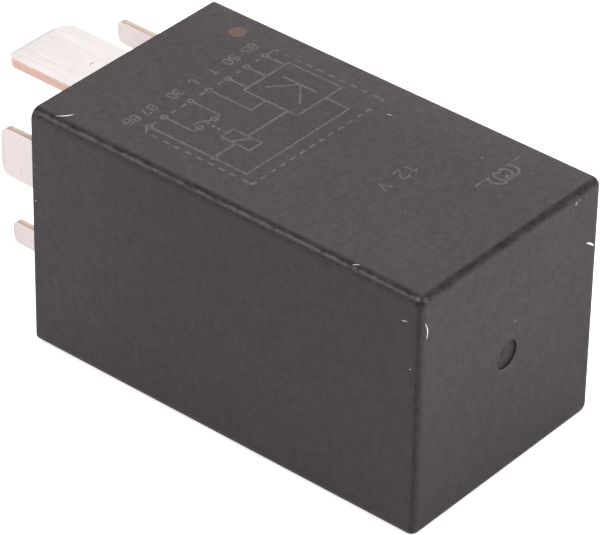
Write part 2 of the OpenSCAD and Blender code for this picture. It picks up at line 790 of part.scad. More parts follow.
// Braid from the upper power blade, over the armature and down to the contact spring
module braid() {
  leaf_at_end = hinge_x + (arm_top + leaf_t + (hinge_z - braid_end_z) * sin(open_angle)) / cos(open_angle);
  end_x = leaf_at_end + small_gap + braid_d / 2 * sin(open_angle);
  turn_x = braid_top - braid_turn;
  turn_z = braid_z - braid_turn;
  drop_x = braid_top - braid_drop;
  drop_z = braid_end_z + braid_drop;
  color(copper) laid() {
    bar_x([braid_x, braid_y, braid_z], braid_d, turn_x - braid_x);
    translate([turn_x, braid_y, turn_z]) rotate([90, 0, 0])
      rotate_extrude(angle = 90) translate([braid_turn, 0]) circle(d = braid_d);
    bar_z([braid_top, braid_y, drop_z], braid_d, turn_z - drop_z);
    translate([drop_x, braid_y, drop_z]) rotate([90, 0, 0]) rotate([0, 0, -90])
      rotate_extrude(angle = 90) translate([braid_drop, 0]) circle(d = braid_d);
    // Both ends are pressed flat to be welded
    block([end_x, braid_y - pad_w / 2, braid_end_z - pad_w / 2],
          [drop_x + small_gap, braid_y + pad_w / 2, braid_end_z + pad_w / 2]);
    block([braid_x - pad_w, braid_y - pad_w / 2, leaf_z],
          [braid_x + small_gap, braid_y + pad_w / 2, braid_z + braid_d / 2]);
  }
}

module circuit_board() {
  color(board_green) laid() difference() {
    block([board_x, board_y, -board_half], [board_far, board_y + board_t, board_half]);
    for (p = WIRE_HOLES)
      bar_y([p[0], board_y - over, p[1]], hole_d, board_t + 2 * over);
    for (z = [-foot_z, foot_z, -small_z])
      block([foot_x - small_gap, board_y - over, z - tab_w / 2 - small_gap],
            [foot_x + thin_t + small_gap, board_y + board_t + over, z + tab_w / 2 + small_gap]);
  }
}

// Stands a part on the board: its own z = 0 is the board's face, its own y runs along Z
module on_board(x, z, turn = 0) {
  laid() translate([x, board_y, z]) rotate([90, 0, 0]) rotate([0, 0, turn]) children();
}

// A straight wire end through the board
module wire_end(x, y, top) {
  bar_z([x, y, -board_t - wire_out], wire_d, top + board_t + wire_out);
}

// A part lying along its own X between two bent wires
module axial_part(body_l, body_d, cap_d, cap_l) {
  height = cap_d / 2 + seat_gap;
  bend_at = axial_pitch / 2 - bend_r;
  turned_x(-body_l / 2, 0, height)
    polygon([[0, 0], [cap_d / 2, 0], [cap_d / 2, cap_l], [body_d / 2, cap_l + (cap_d - body_d) / 2],
             [body_d / 2, body_l - cap_l - (cap_d - body_d) / 2], [cap_d / 2, body_l - cap_l],
             [cap_d / 2, body_l], [0, body_l]]);
  for (turn = [0, 180])
    rotate([0, 0, turn]) {
      bar_x([0, 0, height], wire_d, bend_at);
      translate([bend_at, 0, height - bend_r]) rotate([90, 0, 0])
        rotate_extrude(angle = 90) translate([bend_r, 0]) circle(d = wire_d);
      wire_end(axial_pitch / 2, 0, height - bend_r);
    }
}

module resistor(i) {
  color("#c7a878") on_board(AXIAL[i][0], AXIAL[i][1], 90)
    axial_part(resistor_l, resistor_d, resistor_cap_d, resistor_cap_l);
}

module diode(i) {
  color("#2c2b2b") on_board(AXIAL[6 + i][0], AXIAL[6 + i][1], 90)
    axial_part(diode_l, diode_d, diode_end_d, diode_end_l);
}

module timer_chip() {
  notch_d = 1.6;
  pin_t = 0.25;
  pin_w = 0.5;
  stand = 0.5;
  mid = stand + chip_h / 2;
  color("#2f2f31") on_board(chip_x, chip_z) {
    difference() {
      block([-chip_w / 2, -chip_l / 2, stand], [chip_w / 2, chip_l / 2, stand + chip_h]);
      bar_z([0, chip_l / 2, mid], notch_d, chip_h);
    }
    for (i = [0:3], turn = [0, 180])
      rotate([0, 0, turn]) {
        y = (i - 1.5) * chip_step;
        block([chip_w / 2 - over, y - pin_w, mid - pin_t / 2],
              [chip_row / 2 + pin_t / 2, y + pin_w, mid + pin_t / 2]);
        block([chip_row / 2 - pin_t / 2, y - pin_w / 2, -board_t - wire_out],
              [chip_row / 2 + pin_t / 2, y + pin_w / 2, mid]);
      }
  }
}

module driver_transistor() {
  body_d = 4.8;
  body_h = 4.6;
  flat = 1.3;
  stand = 2;
  lead_step = 0.96;
  color("#2f2f31") on_board(driver_x, driver_z, 90) {
    translate([0, 0, stand]) linear_extrude(body_h) difference() {
      circle(d = body_d);
      translate([-body_d, -body_d - flat]) square([2 * body_d, body_d]);
    }
    for (s = [-1:1])
      wire_end(s * driver_pitch, 0, stand / 2);
    for (s = [-1:1])
      bar_z([s * lead_step, 0, stand / 2], wire_d, stand);
    bar_x([-driver_pitch, 0, stand / 2], wire_d, driver_pitch - lead_step);
    bar_x([lead_step, 0, stand / 2], wire_d, driver_pitch - lead_step);
  }
}

module electrolytic_capacitor() {
  r = can_d / 2;
  round_r = 0.4;
  bead = 0.3;
  bead_z = 1.6;
  color("#3a3c4c") on_board(can_x, can_z) {
    translate([0, 0, small_gap]) rotate_extrude()
      polygon([[0, 0], [r - round_r, 0], [r, round_r], [r, bead_z - bead], [r - bead, bead_z],
               [r, bead_z + bead], [r, can_h - round_r], [r - round_r, can_h], [0, can_h]]);
    for (s = [-1, 1])
      wire_end(0, s * can_pitch / 2, over);
  }
}

module film_capacitor() {
  color("#b5452f") on_board(chip_x, film_z) {
    translate([0, 0, small_gap]) linear_extrude(film_h) rounded_rect(film_l, film_w, film_w / 4);
    for (s = [-1, 1])
      wire_end(s * film_pitch / 2, 0, over);
  }
}

cover();
base();
terminal_30();
terminal_87();
terminal_85();
terminal_86();
terminal_50();
terminal_l();
terminal_t();
yoke();
core();
bobbin();
coil_winding();
coil_pin(-1);  // coil_pin_1
coil_pin(1);  // coil_pin_2
armature();
contact_spring();
moving_contact();
fixed_contact();
armature_rivets();
yoke_rivets();
braid();
circuit_board();
timer_chip();
driver_transistor();
electrolytic_capacitor();
film_capacitor();
for (i = [0:5])
  resistor(i);
for (i = [0:2])
  diode(i);
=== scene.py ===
# %% [markdown]
# # A glow plug controller in the studio
#
# The solids of this relay box come from the frame: a black moulded cover, a base with seven flat
# blades, and the relay and timer board inside. This lesson gives each of them the surface that the
# real material has, adds the marking and the small signs of use that are too fine for solids, and
# lights the box as a catalogue photographer would.

# %% Frame, sizes and units
import json
import math
from functools import partial

import bmesh
import bpy
from mathutils import Matrix, Vector

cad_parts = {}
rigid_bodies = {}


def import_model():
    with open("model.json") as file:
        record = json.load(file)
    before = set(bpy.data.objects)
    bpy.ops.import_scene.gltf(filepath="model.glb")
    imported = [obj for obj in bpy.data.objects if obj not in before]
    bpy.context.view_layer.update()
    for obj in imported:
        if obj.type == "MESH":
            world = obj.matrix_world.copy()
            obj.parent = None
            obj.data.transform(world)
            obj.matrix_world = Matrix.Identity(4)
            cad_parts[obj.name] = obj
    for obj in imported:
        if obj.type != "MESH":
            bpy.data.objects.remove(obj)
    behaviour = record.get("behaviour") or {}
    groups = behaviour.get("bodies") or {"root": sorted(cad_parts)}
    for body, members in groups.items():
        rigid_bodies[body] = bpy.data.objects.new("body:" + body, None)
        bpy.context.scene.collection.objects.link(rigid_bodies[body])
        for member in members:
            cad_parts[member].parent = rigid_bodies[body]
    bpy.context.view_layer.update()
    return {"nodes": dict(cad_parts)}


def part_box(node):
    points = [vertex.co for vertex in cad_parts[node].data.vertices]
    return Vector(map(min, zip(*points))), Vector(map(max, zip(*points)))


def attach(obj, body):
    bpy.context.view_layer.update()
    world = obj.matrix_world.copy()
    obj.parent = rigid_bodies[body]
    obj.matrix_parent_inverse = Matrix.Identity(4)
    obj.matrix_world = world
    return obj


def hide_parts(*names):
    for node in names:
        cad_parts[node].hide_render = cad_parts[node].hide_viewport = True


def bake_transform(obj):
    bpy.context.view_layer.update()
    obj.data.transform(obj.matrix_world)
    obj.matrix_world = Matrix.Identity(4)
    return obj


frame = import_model()
nodes = frame["nodes"]
MM = 0.001
cover_low, cover_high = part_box("cover")
rim_x, end_x = cover_low.x, cover_high.x
near_y = cover_low.y
top_z = cover_high.z
axis_z = (cover_low.z + cover_high.z) / 2
rim = Vector((rim_x, 0, 0))
print("cover, mm:", [round(side / MM, 2) for side in cover_high - cover_low])

# %% [markdown]
# ## The camera
#
# The box lies on its side, and the photographer stood far off with a long lens, so that the edges
# hardly converge. The camera is set by its place, measured from the foot of the rim, and by the
# directions of its right and upper sides, which were fitted to the edges of the box.

# %% Camera
CAMERA_AT = rim + Vector((268.18, -293.48, 279.67)) * MM
RIGHT = Vector((0.763390, 0.645768, 0.014790))
UP = Vector((-0.378946, 0.429191, 0.819875))
LENS, SENSOR = 257.97, 36
bpy.ops.object.select_all(action="DESELECT")
bpy.ops.object.camera_add(location=CAMERA_AT)
camera = bpy.context.object
camera.name = "studio_camera"
turn = Matrix((RIGHT, UP, RIGHT.cross(UP))).transposed().to_4x4()
camera.matrix_world = Matrix.Translation(CAMERA_AT) @ turn
camera.data.sensor_width = SENSOR
camera.data.lens = LENS
camera.data.clip_start = 10 * MM
bpy.context.scene.camera = camera
print("camera to rim, mm:", round((CAMERA_AT - rim).length / MM))

# %% [markdown]
# ## Nodes and colours
#
# Each finish is a tree of nodes, so one function adds a node, sets it and feeds its inputs, in order or
# by name or number. A Mix node's 0 is the share, and its 2 and 3, 4 and 5 or 6 and 7 are the numbers,
# vectors or colours to mix. A Map Range node takes a value, the ends of its range, and what those
# become, which is 0 and 1 unless given. Colours are sRGB hex codes.

# %% Functions for nodes
def linear(hex_code):
    """Turns an sRGB colour such as 'c87f5a' into the linear RGBA that Blender mixes in."""
    channels = [int(hex_code[i : i + 2], 16) / 255 for i in (0, 2, 4)]
    return [c / 12.92 if c <= 0.04045 else ((c + 0.055) / 1.055) ** 2.4 for c in channels] + [1.0]


def feed(node, inputs):
    """Fills inputs, in order or by key, with values, hex colours, sockets, or a node's output in use."""
    for key, value in inputs.items() if isinstance(inputs, dict) else enumerate(inputs):
        if isinstance(value, str):
            value = linear(value)
        if isinstance(value, bpy.types.Node):
            value = next(socket for socket in value.outputs if socket.enabled)
        if isinstance(value, bpy.types.NodeSocket):
            node.id_data.links.new(value, node.inputs[key])
        else:
            node.inputs[key].default_value = value


MODES = {"Math": "operation", "VectorMath": "operation", "Mix": "data_type",
         "MapRange": "interpolation_type"}


def add_node(tree, kind, inputs=(), **settings):
    """Adds one node, such as 'Bump', or 'Math ADD' with its mode, sets it, and feeds its inputs."""
    kind, *mode = kind.split()
    made = tree.nodes.new("ShaderNode" + kind)
    if mode:
        setattr(made, MODES[kind], mode[0])
    for name, value in settings.items():
        setattr(made, name, value)
    feed(made, inputs)
    return made


def new_material(name):
    """Starts a material: itself, a function that adds its nodes, its shader, and the place on a piece."""
    made = bpy.data.materials.new(name)
    made.use_nodes = True
    made.node_tree.nodes.clear()
    add = partial(add_node, made.node_tree)
    shader = add("BsdfPrincipled")
    add("OutputMaterial", {"Surface": shader})
    return made, add, shader, add("TexCoord").outputs["Object"]


def per_mm(size):
    """Texture scale for a pattern that repeats every so many millimetres."""
    return 1 / (size * MM)


print("sRGB 808080 in linear light:", round(linear("808080")[0], 3))

# %% [markdown]
# ## Floor and light
#
# A white room and a light table, which is thin paper that is lit from below as well, give the even
# light of a product picture and a ground with hardly a shadow. Three large soft lamps break the
# evenness a little: one above and behind, one at the closed end and one strip at the left, which picks
# out the near upper edge. Colours are shown as plain sRGB, so that lit white paper comes out white.

# %% Floor
FLOOR_SIZE, PAPER_GLOW = 4, 0.69
bpy.ops.object.select_all(action="DESELECT")
bpy.ops.mesh.primitive_plane_add(size=FLOOR_SIZE, location=(0, 0, 0))
floor = bpy.context.object
floor.name = "studio_floor"
paper, add, shader, where = new_material("white_backdrop_paper")
fibres = add("TexNoise", {"Vector": where, "Scale": per_mm(2)})
shade = add("Mix RGBA", {0: fibres, 6: "cfcfcf", 7: "d4d4d4"})
feed(shader, {"Base Color": shade, "Roughness": 0.9, "Specular IOR Level": 0.1,
              "Emission Color": "ffffff", "Emission Strength": PAPER_GLOW})
floor.data.materials.append(paper)
print("floor:", FLOOR_SIZE, "m of", paper.name)

# %% Room light and lamps
bpy.context.scene.view_settings.view_transform = "Standard"
world = bpy.data.worlds.new("white_room")
bpy.context.scene.world = world
world.use_nodes = True
add = partial(add_node, world.node_tree)
height = add("SeparateXYZ", [add("TexCoord").outputs["Generated"]]).outputs[2]
ceiling = add("MapRange", {0: height, 2: 0.9, 3: 0.66, 4: 1.22})
feed(world.node_tree.nodes["Background"], {"Color": "ffffff", "Strength": ceiling})

# Each lamp: direction from the middle of the box, distance and sides in metres, and power in watts
LAMPS = {
    "lamp_above": ((-0.1, 0.35, 1), 0.35, (0.3, 0.3), 0.8),
    "lamp_closed_end": ((1, 0.25, 0.55), 0.8, (0.5, 0.5), 2.9),
    "lamp_edge_strip": ((-0.523, -0.479, 0.705), 0.8, (0.5, 0.06), 1.2),
}
for name, (direction, distance, sides, power) in LAMPS.items():
    away = Vector(direction).normalized()
    bpy.ops.object.select_all(action="DESELECT")
    bpy.ops.object.light_add(type="AREA", location=Vector((0, 0, axis_z)) + away * distance)
    lamp = bpy.context.object
    lamp.name = name
    lamp.data.shape = "RECTANGLE"
    lamp.data.size, lamp.data.size_y = sides
    lamp.data.energy = power
    lamp.rotation_euler = away.to_track_quat("Z", "Y").to_euler()
    print(name, power, "W")

# %% [markdown]
# ## Cover: PBT with a spark-eroded skin
#
# The cover is moulded from black PBT in a mould whose walls were etched by sparks, so its flat faces
# carry a fine matt grain that scatters light and looks dark grey. The rounded edges were polished in
# the mould and by handling: they scatter less and look darker, with a thin painted highlight along the
# middle of the long ones. The direction of the surface tells the faces from the edges, so one
# material does it all. It grows over the next cells.

# %% Directions on the cover, and noise for wear and for breaks in the painted highlights
DRAWN_OUT = 0.4
cover_plastic, add, shader, where = new_material("pbt_spark_eroded_black")
tree = cover_plastic.node_tree
facing = where.node.outputs["Normal"]
sides = add("VectorMath ABSOLUTE", [facing])
ahead, across, up = add("SeparateXYZ", [sides]).outputs
x, y, z = add("SeparateXYZ", [where]).outputs
long_edge = add("MapRange", [ahead, 0.05, 0.2, 1.0, 0.0])
upright = add("MapRange", [up, 0.05, 0.2, 1.0, 0.0])
level = add("Mapping", {"Vector": where, "Scale": (DRAWN_OUT, DRAWN_OUT, 1)})
upwards = add("Mapping", {"Vector": where, "Scale": (1, 1, DRAWN_OUT)})
along = add("Mix VECTOR", {0: upright, 4: level, 5: upwards})
wear_and_highlight_breaks = add("TexNoise", {"Vector": along, "Scale": per_mm(0.4), "Detail": 4.0, "Roughness": 0.65})
ragged = add("MapRange", [wear_and_highlight_breaks, 0.3, 0.7, -0.045, 0.045])
print("wear:", len(tree.nodes), "nodes")

# %% [markdown]
# Edges round the closed end are dark all the way round, and the upright ones only along their middle.
# The polish of the near long edges reaches a little way onto the upper and lower sides, in patches.
# Round the sunk gate, where the melt came in, the edges are as they were cut, without polish.

# %% Polished edges
GATE_RADIUS, GATE_LIP, GATE_UP = 1.8 * MM, 0.2 * MM, 0.35 * MM
flat_two = add("Math MAXIMUM", [across, up])
flatness = add("Math MAXIMUM", [flat_two, ahead])
rounded = add("MapRange SMOOTHSTEP", [flatness, 0.999, 0.9])
dulled = add("MapRange SMOOTHSTEP", [flatness, 0.97, 0.8, 0.0, 0.75])
end_edge = add("Mix", {0: upright, 2: rounded, 3: dulled})

across = add("Math ADD", [across, ragged])
leaning = add("MapRange SMOOTHSTEP", [across, 0.02, 0.25])
beside = add("MapRange SMOOTHSTEP", [across, 0.84, 0.95, 1.0, 0.0])
polished = add("Math MULTIPLY", [leaning, beside])
near_half = add("Math LESS_THAN", [y, 0.0])
polished = add("Math MULTIPLY", [polished, near_half])
on_edge = add("Mix", {0: long_edge, 2: end_edge, 3: polished})
patches = add("TexNoise", {"Vector": where, "Scale": per_mm(2.5), "Detail": 3.0})
patches = add("MapRange", [patches, 0.3, 0.7, 0.7])
on_edge = add("Math MULTIPLY", [on_edge, patches])

from_gate = add("VectorMath SUBTRACT", [where, (end_x, 0, axis_z + GATE_UP)])
from_gate = add("VectorMath MULTIPLY", [from_gate, (0, 1, 1)])
from_gate = add("VectorMath LENGTH", [from_gate])
off_gate = add("Math GREATER_THAN", [from_gate, GATE_RADIUS + GATE_LIP])
on_edge = add("Math MULTIPLY", [on_edge, off_gate])
print("polished edges:", len(tree.nodes), "nodes")

# %% [markdown]
# The faces are dark grey with soft clouds and smears. Their grain is about 0.03 mm in truth, and drawn
# five times as coarse so that it shows. Painted light and shade make the end darker low down, the sides
# paler towards the rim and darker further along, and the top paler towards the far edge. A normal's
# squares add up to one, so they share the three out.

# %% Tone of the faces
PBT_FACE = ("332e31", "393437")
grain = add("TexNoise", {"Vector": where, "Scale": per_mm(0.16), "Detail": 2.0})
clouds = add("TexNoise", {"Vector": where, "Scale": per_mm(5), "Detail": 4.0, "Roughness": 0.6})
face_tone = add("Mix RGBA", {0: clouds, 6: PBT_FACE[0], 7: PBT_FACE[1]})
smears = add("TexNoise", {"Vector": where, "Scale": per_mm(0.9), "Detail": 5.0, "Roughness": 0.65})
grain_shift = add("MapRange", [grain, 0.3, 0.7, 0.74, 1.26])
smear_shift = add("MapRange", [smears, 0.3, 0.7, 0.8, 1.2])
shift = add("Math MULTIPLY", [grain_shift, smear_shift])
# Painted light and shade: the end darker low down, the sides paler at the rim, the top paler at the far
# edge
painted_light_end = add("MapRange", [z, 2 * MM, 22 * MM, 0.7, 1.01])
painted_light_side = add("MapRange", [x, rim_x, rim_x + 20 * MM, 1.08, 0.88])
painted_light_top = add("MapRange", [y, 7 * MM, 14 * MM, 1.0, 1.2])
painted_light = add("CombineXYZ", [painted_light_end, painted_light_side, painted_light_top])
shares = add("VectorMath MULTIPLY", [facing, facing])
painted_light = add("VectorMath DOT_PRODUCT", [painted_light, shares])
shift = add("Math MULTIPLY", [shift, painted_light])
face_tone = add("VectorMath MULTIPLY", [face_tone, shift])
print("faces:", len(tree.nodes), "nodes")

# %% [markdown]
# The polished edges are nearly black, and painted light makes them paler where they lean to the side
# or to the closed end. A painted highlight runs as a thin line about 43 degrees round each long edge
# and is broken up along its length. Two painted highlights sit at the near upper corner, on both sides
# of the upright edge.

# %% Tone of the edges, with painted light, a painted highlight line and painted highlights at the corner
# The second edge tone is painted light, and the two single colours are painted highlights
PBT_EDGE_AND_PAINTED_LIGHT, PBT_EDGE_HIGHLIGHT, PBT_CORNER_HIGHLIGHT = ("1a1519", "2b2529"), "4a4347", "5f5b5d"
HIGHLIGHT_AT = 0.68
CORNER_HIGHLIGHTS = [(52.74, -14.74, 30.24), (53.25, -14.18, 30.11)]
# Painted light: the edges turn paler where they lean to the side or to the closed end
painted_light_long_edge = add("MapRange", [across, 0.66, 0.8])
painted_light_long_edge = add("Math MULTIPLY", [painted_light_long_edge, long_edge])
painted_light_end_edge = add("MapRange", [ahead, 0.72, 1.0])
painted_light_edges = add("Math MAXIMUM", [painted_light_long_edge, painted_light_end_edge])
edge_tone = add("Mix RGBA", {0: painted_light_edges, 6: PBT_EDGE_AND_PAINTED_LIGHT[0], 7: PBT_EDGE_AND_PAINTED_LIGHT[1]})
edge_shift = add("MapRange", [wear_and_highlight_breaks, 0.35, 0.65, 0.2, 1.9])
edge_tone = add("VectorMath MULTIPLY", [edge_tone, edge_shift])
tone = add("Mix RGBA", {0: on_edge, 6: face_tone, 7: edge_tone})

# Painted highlight: a thin pale line along each long edge, broken up along its length
off_highlight = add("Math SUBTRACT", [across, HIGHLIGHT_AT])
off_highlight = add("Math ABSOLUTE", [off_highlight])
line = add("MapRange SMOOTHSTEP", [off_highlight, 0.02, 0.19, 1.0, 0.0])
breaks = add("MapRange", [wear_and_highlight_breaks, 0.38, 0.56, 0.4])
rubbed = add("Math MULTIPLY", [line, long_edge])
rubbed = add("Math MULTIPLY", [rubbed, breaks])
tone = add("Mix RGBA", {0: rubbed, 6: tone, 7: PBT_EDGE_HIGHLIGHT})
# Painted highlights: two pale spots at the near upper corner
for dab in CORNER_HIGHLIGHTS:
    off = add("VectorMath DISTANCE", [where, rim + Vector(dab) * MM])
    spot = add("MapRange", [off, 0.05 * MM, 0.34 * MM, 1.0, 0.0])
    spot = add("Math MULTIPLY", [spot, breaks])
    tone = add("Mix RGBA", {0: spot, 6: tone, 7: PBT_CORNER_HIGHLIGHT})
print("edges:", len(tree.nodes), "nodes")

# %% [markdown]
# The wall of the sunk gate is painted dark as shade, and its mouth and its nub are painted pale as
# light against the shade on them. A few specks of dust, each about a tenth of a millimetre, lie all
# over. The edges are glossier than the faces, and the grain is felt as a fine relief.

# %% Gate with painted shade and light, specks and gloss
# Painted shade on the wall of the gate, and painted light on its mouth and its nub
GATE_PAINTED_SHADE, GATE_PAINTED_LIGHT, SPECK = "161416", "6a6266", "a9a3a2"
gate_wall = add("Math LESS_THAN", [ahead, 0.5])
in_gate = add("Math SUBTRACT", [1.0, off_gate])
gate_wall = add("Math MULTIPLY", [gate_wall, in_gate])
painted_light_mouth = add("MapRange", [x, end_x - 0.4 * MM, end_x - 0.3 * MM])
nub = add("Math LESS_THAN", [from_gate, GATE_RADIUS / 2])
painted_light_mouth = add("Math MAXIMUM", [painted_light_mouth, nub])
wall_tone = add("Mix RGBA", {0: painted_light_mouth, 6: GATE_PAINTED_SHADE, 7: GATE_PAINTED_LIGHT})
tone = add("Mix RGBA", {0: gate_wall, 6: tone, 7: wall_tone})
specks = add("TexVoronoi", {"Vector": where, "Scale": per_mm(2.4)})
speck = add("MapRange", [specks, 0.02, 0.045, 0.5, 0.0])
picked = add("Math GREATER_THAN", [specks.outputs["Color"], 0.72])
speck = add("Math MULTIPLY", [speck, picked])
tone = add("Mix RGBA", {0: speck, 6: tone, 7: SPECK})
gloss = add("MapRange", {0: on_edge, 3: 0.6, 4: 0.45})
relief = add("Bump", {"Strength": 0.3, "Distance": 0.02 * MM, "Height": grain})
feed(shader, {"Base Color": tone, "Roughness": gloss, "Normal": relief, "Specular IOR Level": 0.15})


def dress(material, *names):
    """Gives CAD nodes a material, in the slots that they have."""
    for name in names:
        for slot in nodes[name].material_slots:
            slot.material = material
    print(material.name, "on", ", ".join(names))


dress(cover_plastic, "cover")

# %% [markdown]
# ## Blades: tinned copper strip
#
# The blades are stamped from copper strip that was tinned before it was cut. So the rolled faces are
# silvery white, and the cut edges show bare, pinkish copper in layers: tin that the punch drew over
# the edge, a burnished part and a torn part. Which side of a blade is a face depends on how it stands:
# the power blades lie flat and the others stand on edge. Use has left a few grey scuffs.

# %% Tinned strip
def tinned_strip(name, face_axis, face_at, inward, tin_tones, cut_layers, scuffs=()):
    """Tin on the faces across one axis (1 is Y, 2 is Z), bare copper in layers on the cut edges.

    face_at is the place of one face along that axis, and inward the way from it through the strip.
    A scuff has a middle, a reach along X, Y and Z, and a strength."""
    made, add, shader, where = new_material(name)
    sides = add("VectorMath ABSOLUTE", [where.node.outputs["Normal"]])
    side = add("SeparateXYZ", [sides]).outputs[face_axis]
    # Tin on the faces, darker where the tip is bevelled
    on_face = add("MapRange", [side, 0.6, 0.8])
    flat = add("MapRange", [side, 0.9, 0.99, 0.7])
    along = add("Mapping", {"Vector": where, "Scale": (0.04, 1, 1)})
    rolling = add("TexNoise", {"Vector": along, "Scale": per_mm(0.25), "Detail": 3.0})
    stains = add("TexNoise", {"Vector": where, "Scale": per_mm(3), "Detail": 4.0})
    tin = add("Mix RGBA", {0: stains, 6: tin_tones[0], 7: tin_tones[1]})
    tin = add("VectorMath MULTIPLY", [tin, flat])
    # Layers of the cut edge, with a ragged border between them
    depth = add("SeparateXYZ", [where]).outputs[face_axis]
    depth = add("MapRange", [depth, face_at, face_at + inward], clamp=False)
    torn = add("TexNoise", {"Vector": where, "Scale": per_mm(0.7), "Detail": 3.0})
    torn = add("MapRange", [torn, 0.3, 0.7, -0.12, 0.12])
    depth = add("Math ADD", [depth, torn])
    layers = add("ValToRGB", [depth])
    for position, _ in cut_layers[1:-1]:
        layers.color_ramp.elements.new(position)
    for element, (position, colour) in zip(layers.color_ramp.elements, cut_layers):
        element.position, element.color = position, linear(colour)
    tone = add("Mix RGBA", {0: on_face, 6: layers, 7: tin})
    for spot, reach, strength in scuffs:
        off = add("VectorMath SUBTRACT", [where, spot])
        off = add("VectorMath DIVIDE", [off, reach])
        off = add("VectorMath LENGTH", [off])
        mark = add("MapRange", [off, 0.3, 1.0, strength, 0.0])
        tone = add("Mix RGBA", {0: mark, 6: tone, 7: "6d6462"})
    gloss = add("MapRange", [rolling, 0.3, 0.7, 0.3, 0.42])
    relief = add("Bump", {"Strength": 0.15, "Distance": 0.01 * MM, "Height": rolling})
    feed(shader, {"Base Color": tone, "Metallic": 1.0, "Roughness": gloss, "Normal": relief})
    return made


# %% Blades and coil pins
# The second tin, of blades that stand on edge and of the coil pins, is the same tin painted darker as shade
FLAT_TIN, UPRIGHT_TIN_PAINTED_SHADE = ("d0c9c7", "dcd5d4"), ("b6abaa", "c1b8b6")
# Through the strip: tin that the punch drew over the edge, the burnished part, and the torn part
FLAT_CUT = [(0.0, "bda9a3"), (0.15, "b49a90"), (0.4, "aa8e83"), (0.65, "b19385"), (1.0, "ae8d82")]
UPRIGHT_CUT = [(0.0, "b09a8e"), (0.2, "b29a8c"), (0.45, "c7afa3"), (1.0, "c9bab2")]
blade_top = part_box("terminal_30")[1].z
SCUFFS = {
    "30": [((rim_x - 5.35 * MM, 0.2 * MM, blade_top), (0.16 * MM, 0.6 * MM, MM), 0.6),
           ((rim_x - 6.25 * MM, -2.4 * MM, blade_top), (0.15 * MM, 0.6 * MM, MM), 0.2)],
    "85": [((rim_x - 10.43 * MM, -6.2 * MM, 13.5 * MM), (0.16 * MM, MM, 0.8 * MM), 0.18)],
}
# How a strip stands, the axis across its faces, the zero and the middles in mm along that axis, the way
# through the strip, and its colours
STRIPS = [
    ("flat", 2, axis_z, {"30": 11.0, "87": -11.0}, -1.2 * MM, FLAT_TIN, FLAT_CUT),
    ("upright", 1, 0.0, {"85": -5.8, "86": 5.8, "50": -7.1, "l": 10.5, "t": 10.5}, 0.8 * MM,
     UPRIGHT_TIN_PAINTED_SHADE, UPRIGHT_CUT),
]
for stance, axis, zero, middles, inward, tin, cut in STRIPS:
    for number, middle in middles.items():
        face_at = zero + middle * MM - inward / 2
        strip = tinned_strip(f"tinned_copper_{stance}_{number}", axis, face_at, inward, tin, cut,
                             SCUFFS.get(number, ()))
        dress(strip, f"terminal_{number}")
dress(tinned_strip("tinned_copper_pin", 1, 0, MM, UPRIGHT_TIN_PAINTED_SHADE, UPRIGHT_CUT), "coil_pin_1", "coil_pin_2")

# %% [markdown]
# The punch has cut the far corner of the wide blade's tip off straight, where the solid has a round
# corner. A CAD node keeps its mesh, so a copy with merged seams is cut by a plane at 45 degrees, and the
# copy takes the node's place.

# %% Cut tip of blade 30
def select_only(*pieces):
    """Selects these objects and no others, and makes the first of them active."""
    bpy.ops.object.select_all(action="DESELECT")
    for piece in pieces:
        piece.select_set(True)
    bpy.context.view_layer.objects.active = pieces[0]


def merged_copy(node_name, name):
    """Copies a CAD node, merges the seams of the copy, and leaves it open for editing."""
    select_only(nodes[node_name])
    bpy.ops.object.duplicate()
    copy = bpy.context.object
    copy.name = name
    bpy.ops.object.parent_clear(type="CLEAR_KEEP_TRANSFORM")
    bpy.ops.object.mode_set(mode="EDIT")
    bpy.ops.mesh.select_all(action="SELECT")
    bpy.ops.mesh.remove_doubles(threshold=0.001 * MM)
    return copy


def close_piece(smooth=0, outward=False):
    """Closes the open mesh, and if asked turns its faces outward and smooths edges up to an angle."""
    if outward:
        bpy.ops.mesh.select_all(action="SELECT")
        bpy.ops.mesh.normals_make_consistent(inside=False)
    bpy.ops.object.mode_set(mode="OBJECT")
    if smooth:
        bpy.ops.object.shade_smooth_by_angle(angle=math.radians(smooth))


TIP_CUT, BLADE_WIDTH = 1.68 * MM, 9.5 * MM
tip_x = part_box("terminal_30")[0].x
blade_30 = merged_copy("terminal_30", "blade_30")
bpy.ops.mesh.bisect(plane_co=(tip_x + TIP_CUT, BLADE_WIDTH / 2, 0), plane_no=(-1, 1, 0),
                    use_fill=True, clear_outer=True)
close_piece(smooth=10, outward=True)
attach(blade_30, "housing")
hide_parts("terminal_30")
mesh = bmesh.new()
mesh.from_mesh(blade_30.data)
open_edges = sum(not edge.is_manifold for edge in mesh.edges)
mesh.free()
print("blade 30:", len(blade_30.data.polygons), "faces,", open_edges, "open edges")

# %% [markdown]
# ## Base: PBT with glass fibre
#
# The base is the same plastic with short glass fibres for stiffness. They show as fine pale streaks
# where the melt flowed, and the mould for it was left smoother.

# %% Base material
base_plastic, add, shader, where = new_material("pbt_glass_filled_black")
flow = add("Mapping", {"Vector": where, "Rotation": (0.3, 0, 0), "Scale": (1, 0.15, 1)})
fibres = add("TexNoise", {"Vector": flow, "Scale": per_mm(0.3), "Detail": 3.0})
streaks = add("MapRange", [fibres, 0.5, 0.75])
tone = add("Mix RGBA", {0: streaks, 6: "343032", 7: "4c4748"})
gloss = add("MapRange", {0: streaks, 3: 0.45, 4: 0.62})
relief = add("Bump", {"Strength": 0.2, "Distance": 0.02 * MM, "Height": fibres})
feed(shader, {"Base Color": tone, "Roughness": gloss, "Normal": relief})
dress(base_plastic, "base")

# %% [markdown]
# ## Marking on the upper side
#
# A laser foams the skin of the plastic where it passes, which leaves a pale grey line a few hundredths
# of a millimetre high. The wiring diagram is drawn as a person would draw it: a vertex is pulled from
# point to point, the edges become a curve with a round section, and the whole is pressed flat. Letters
# and numbers are drawn the same way, with single strokes.

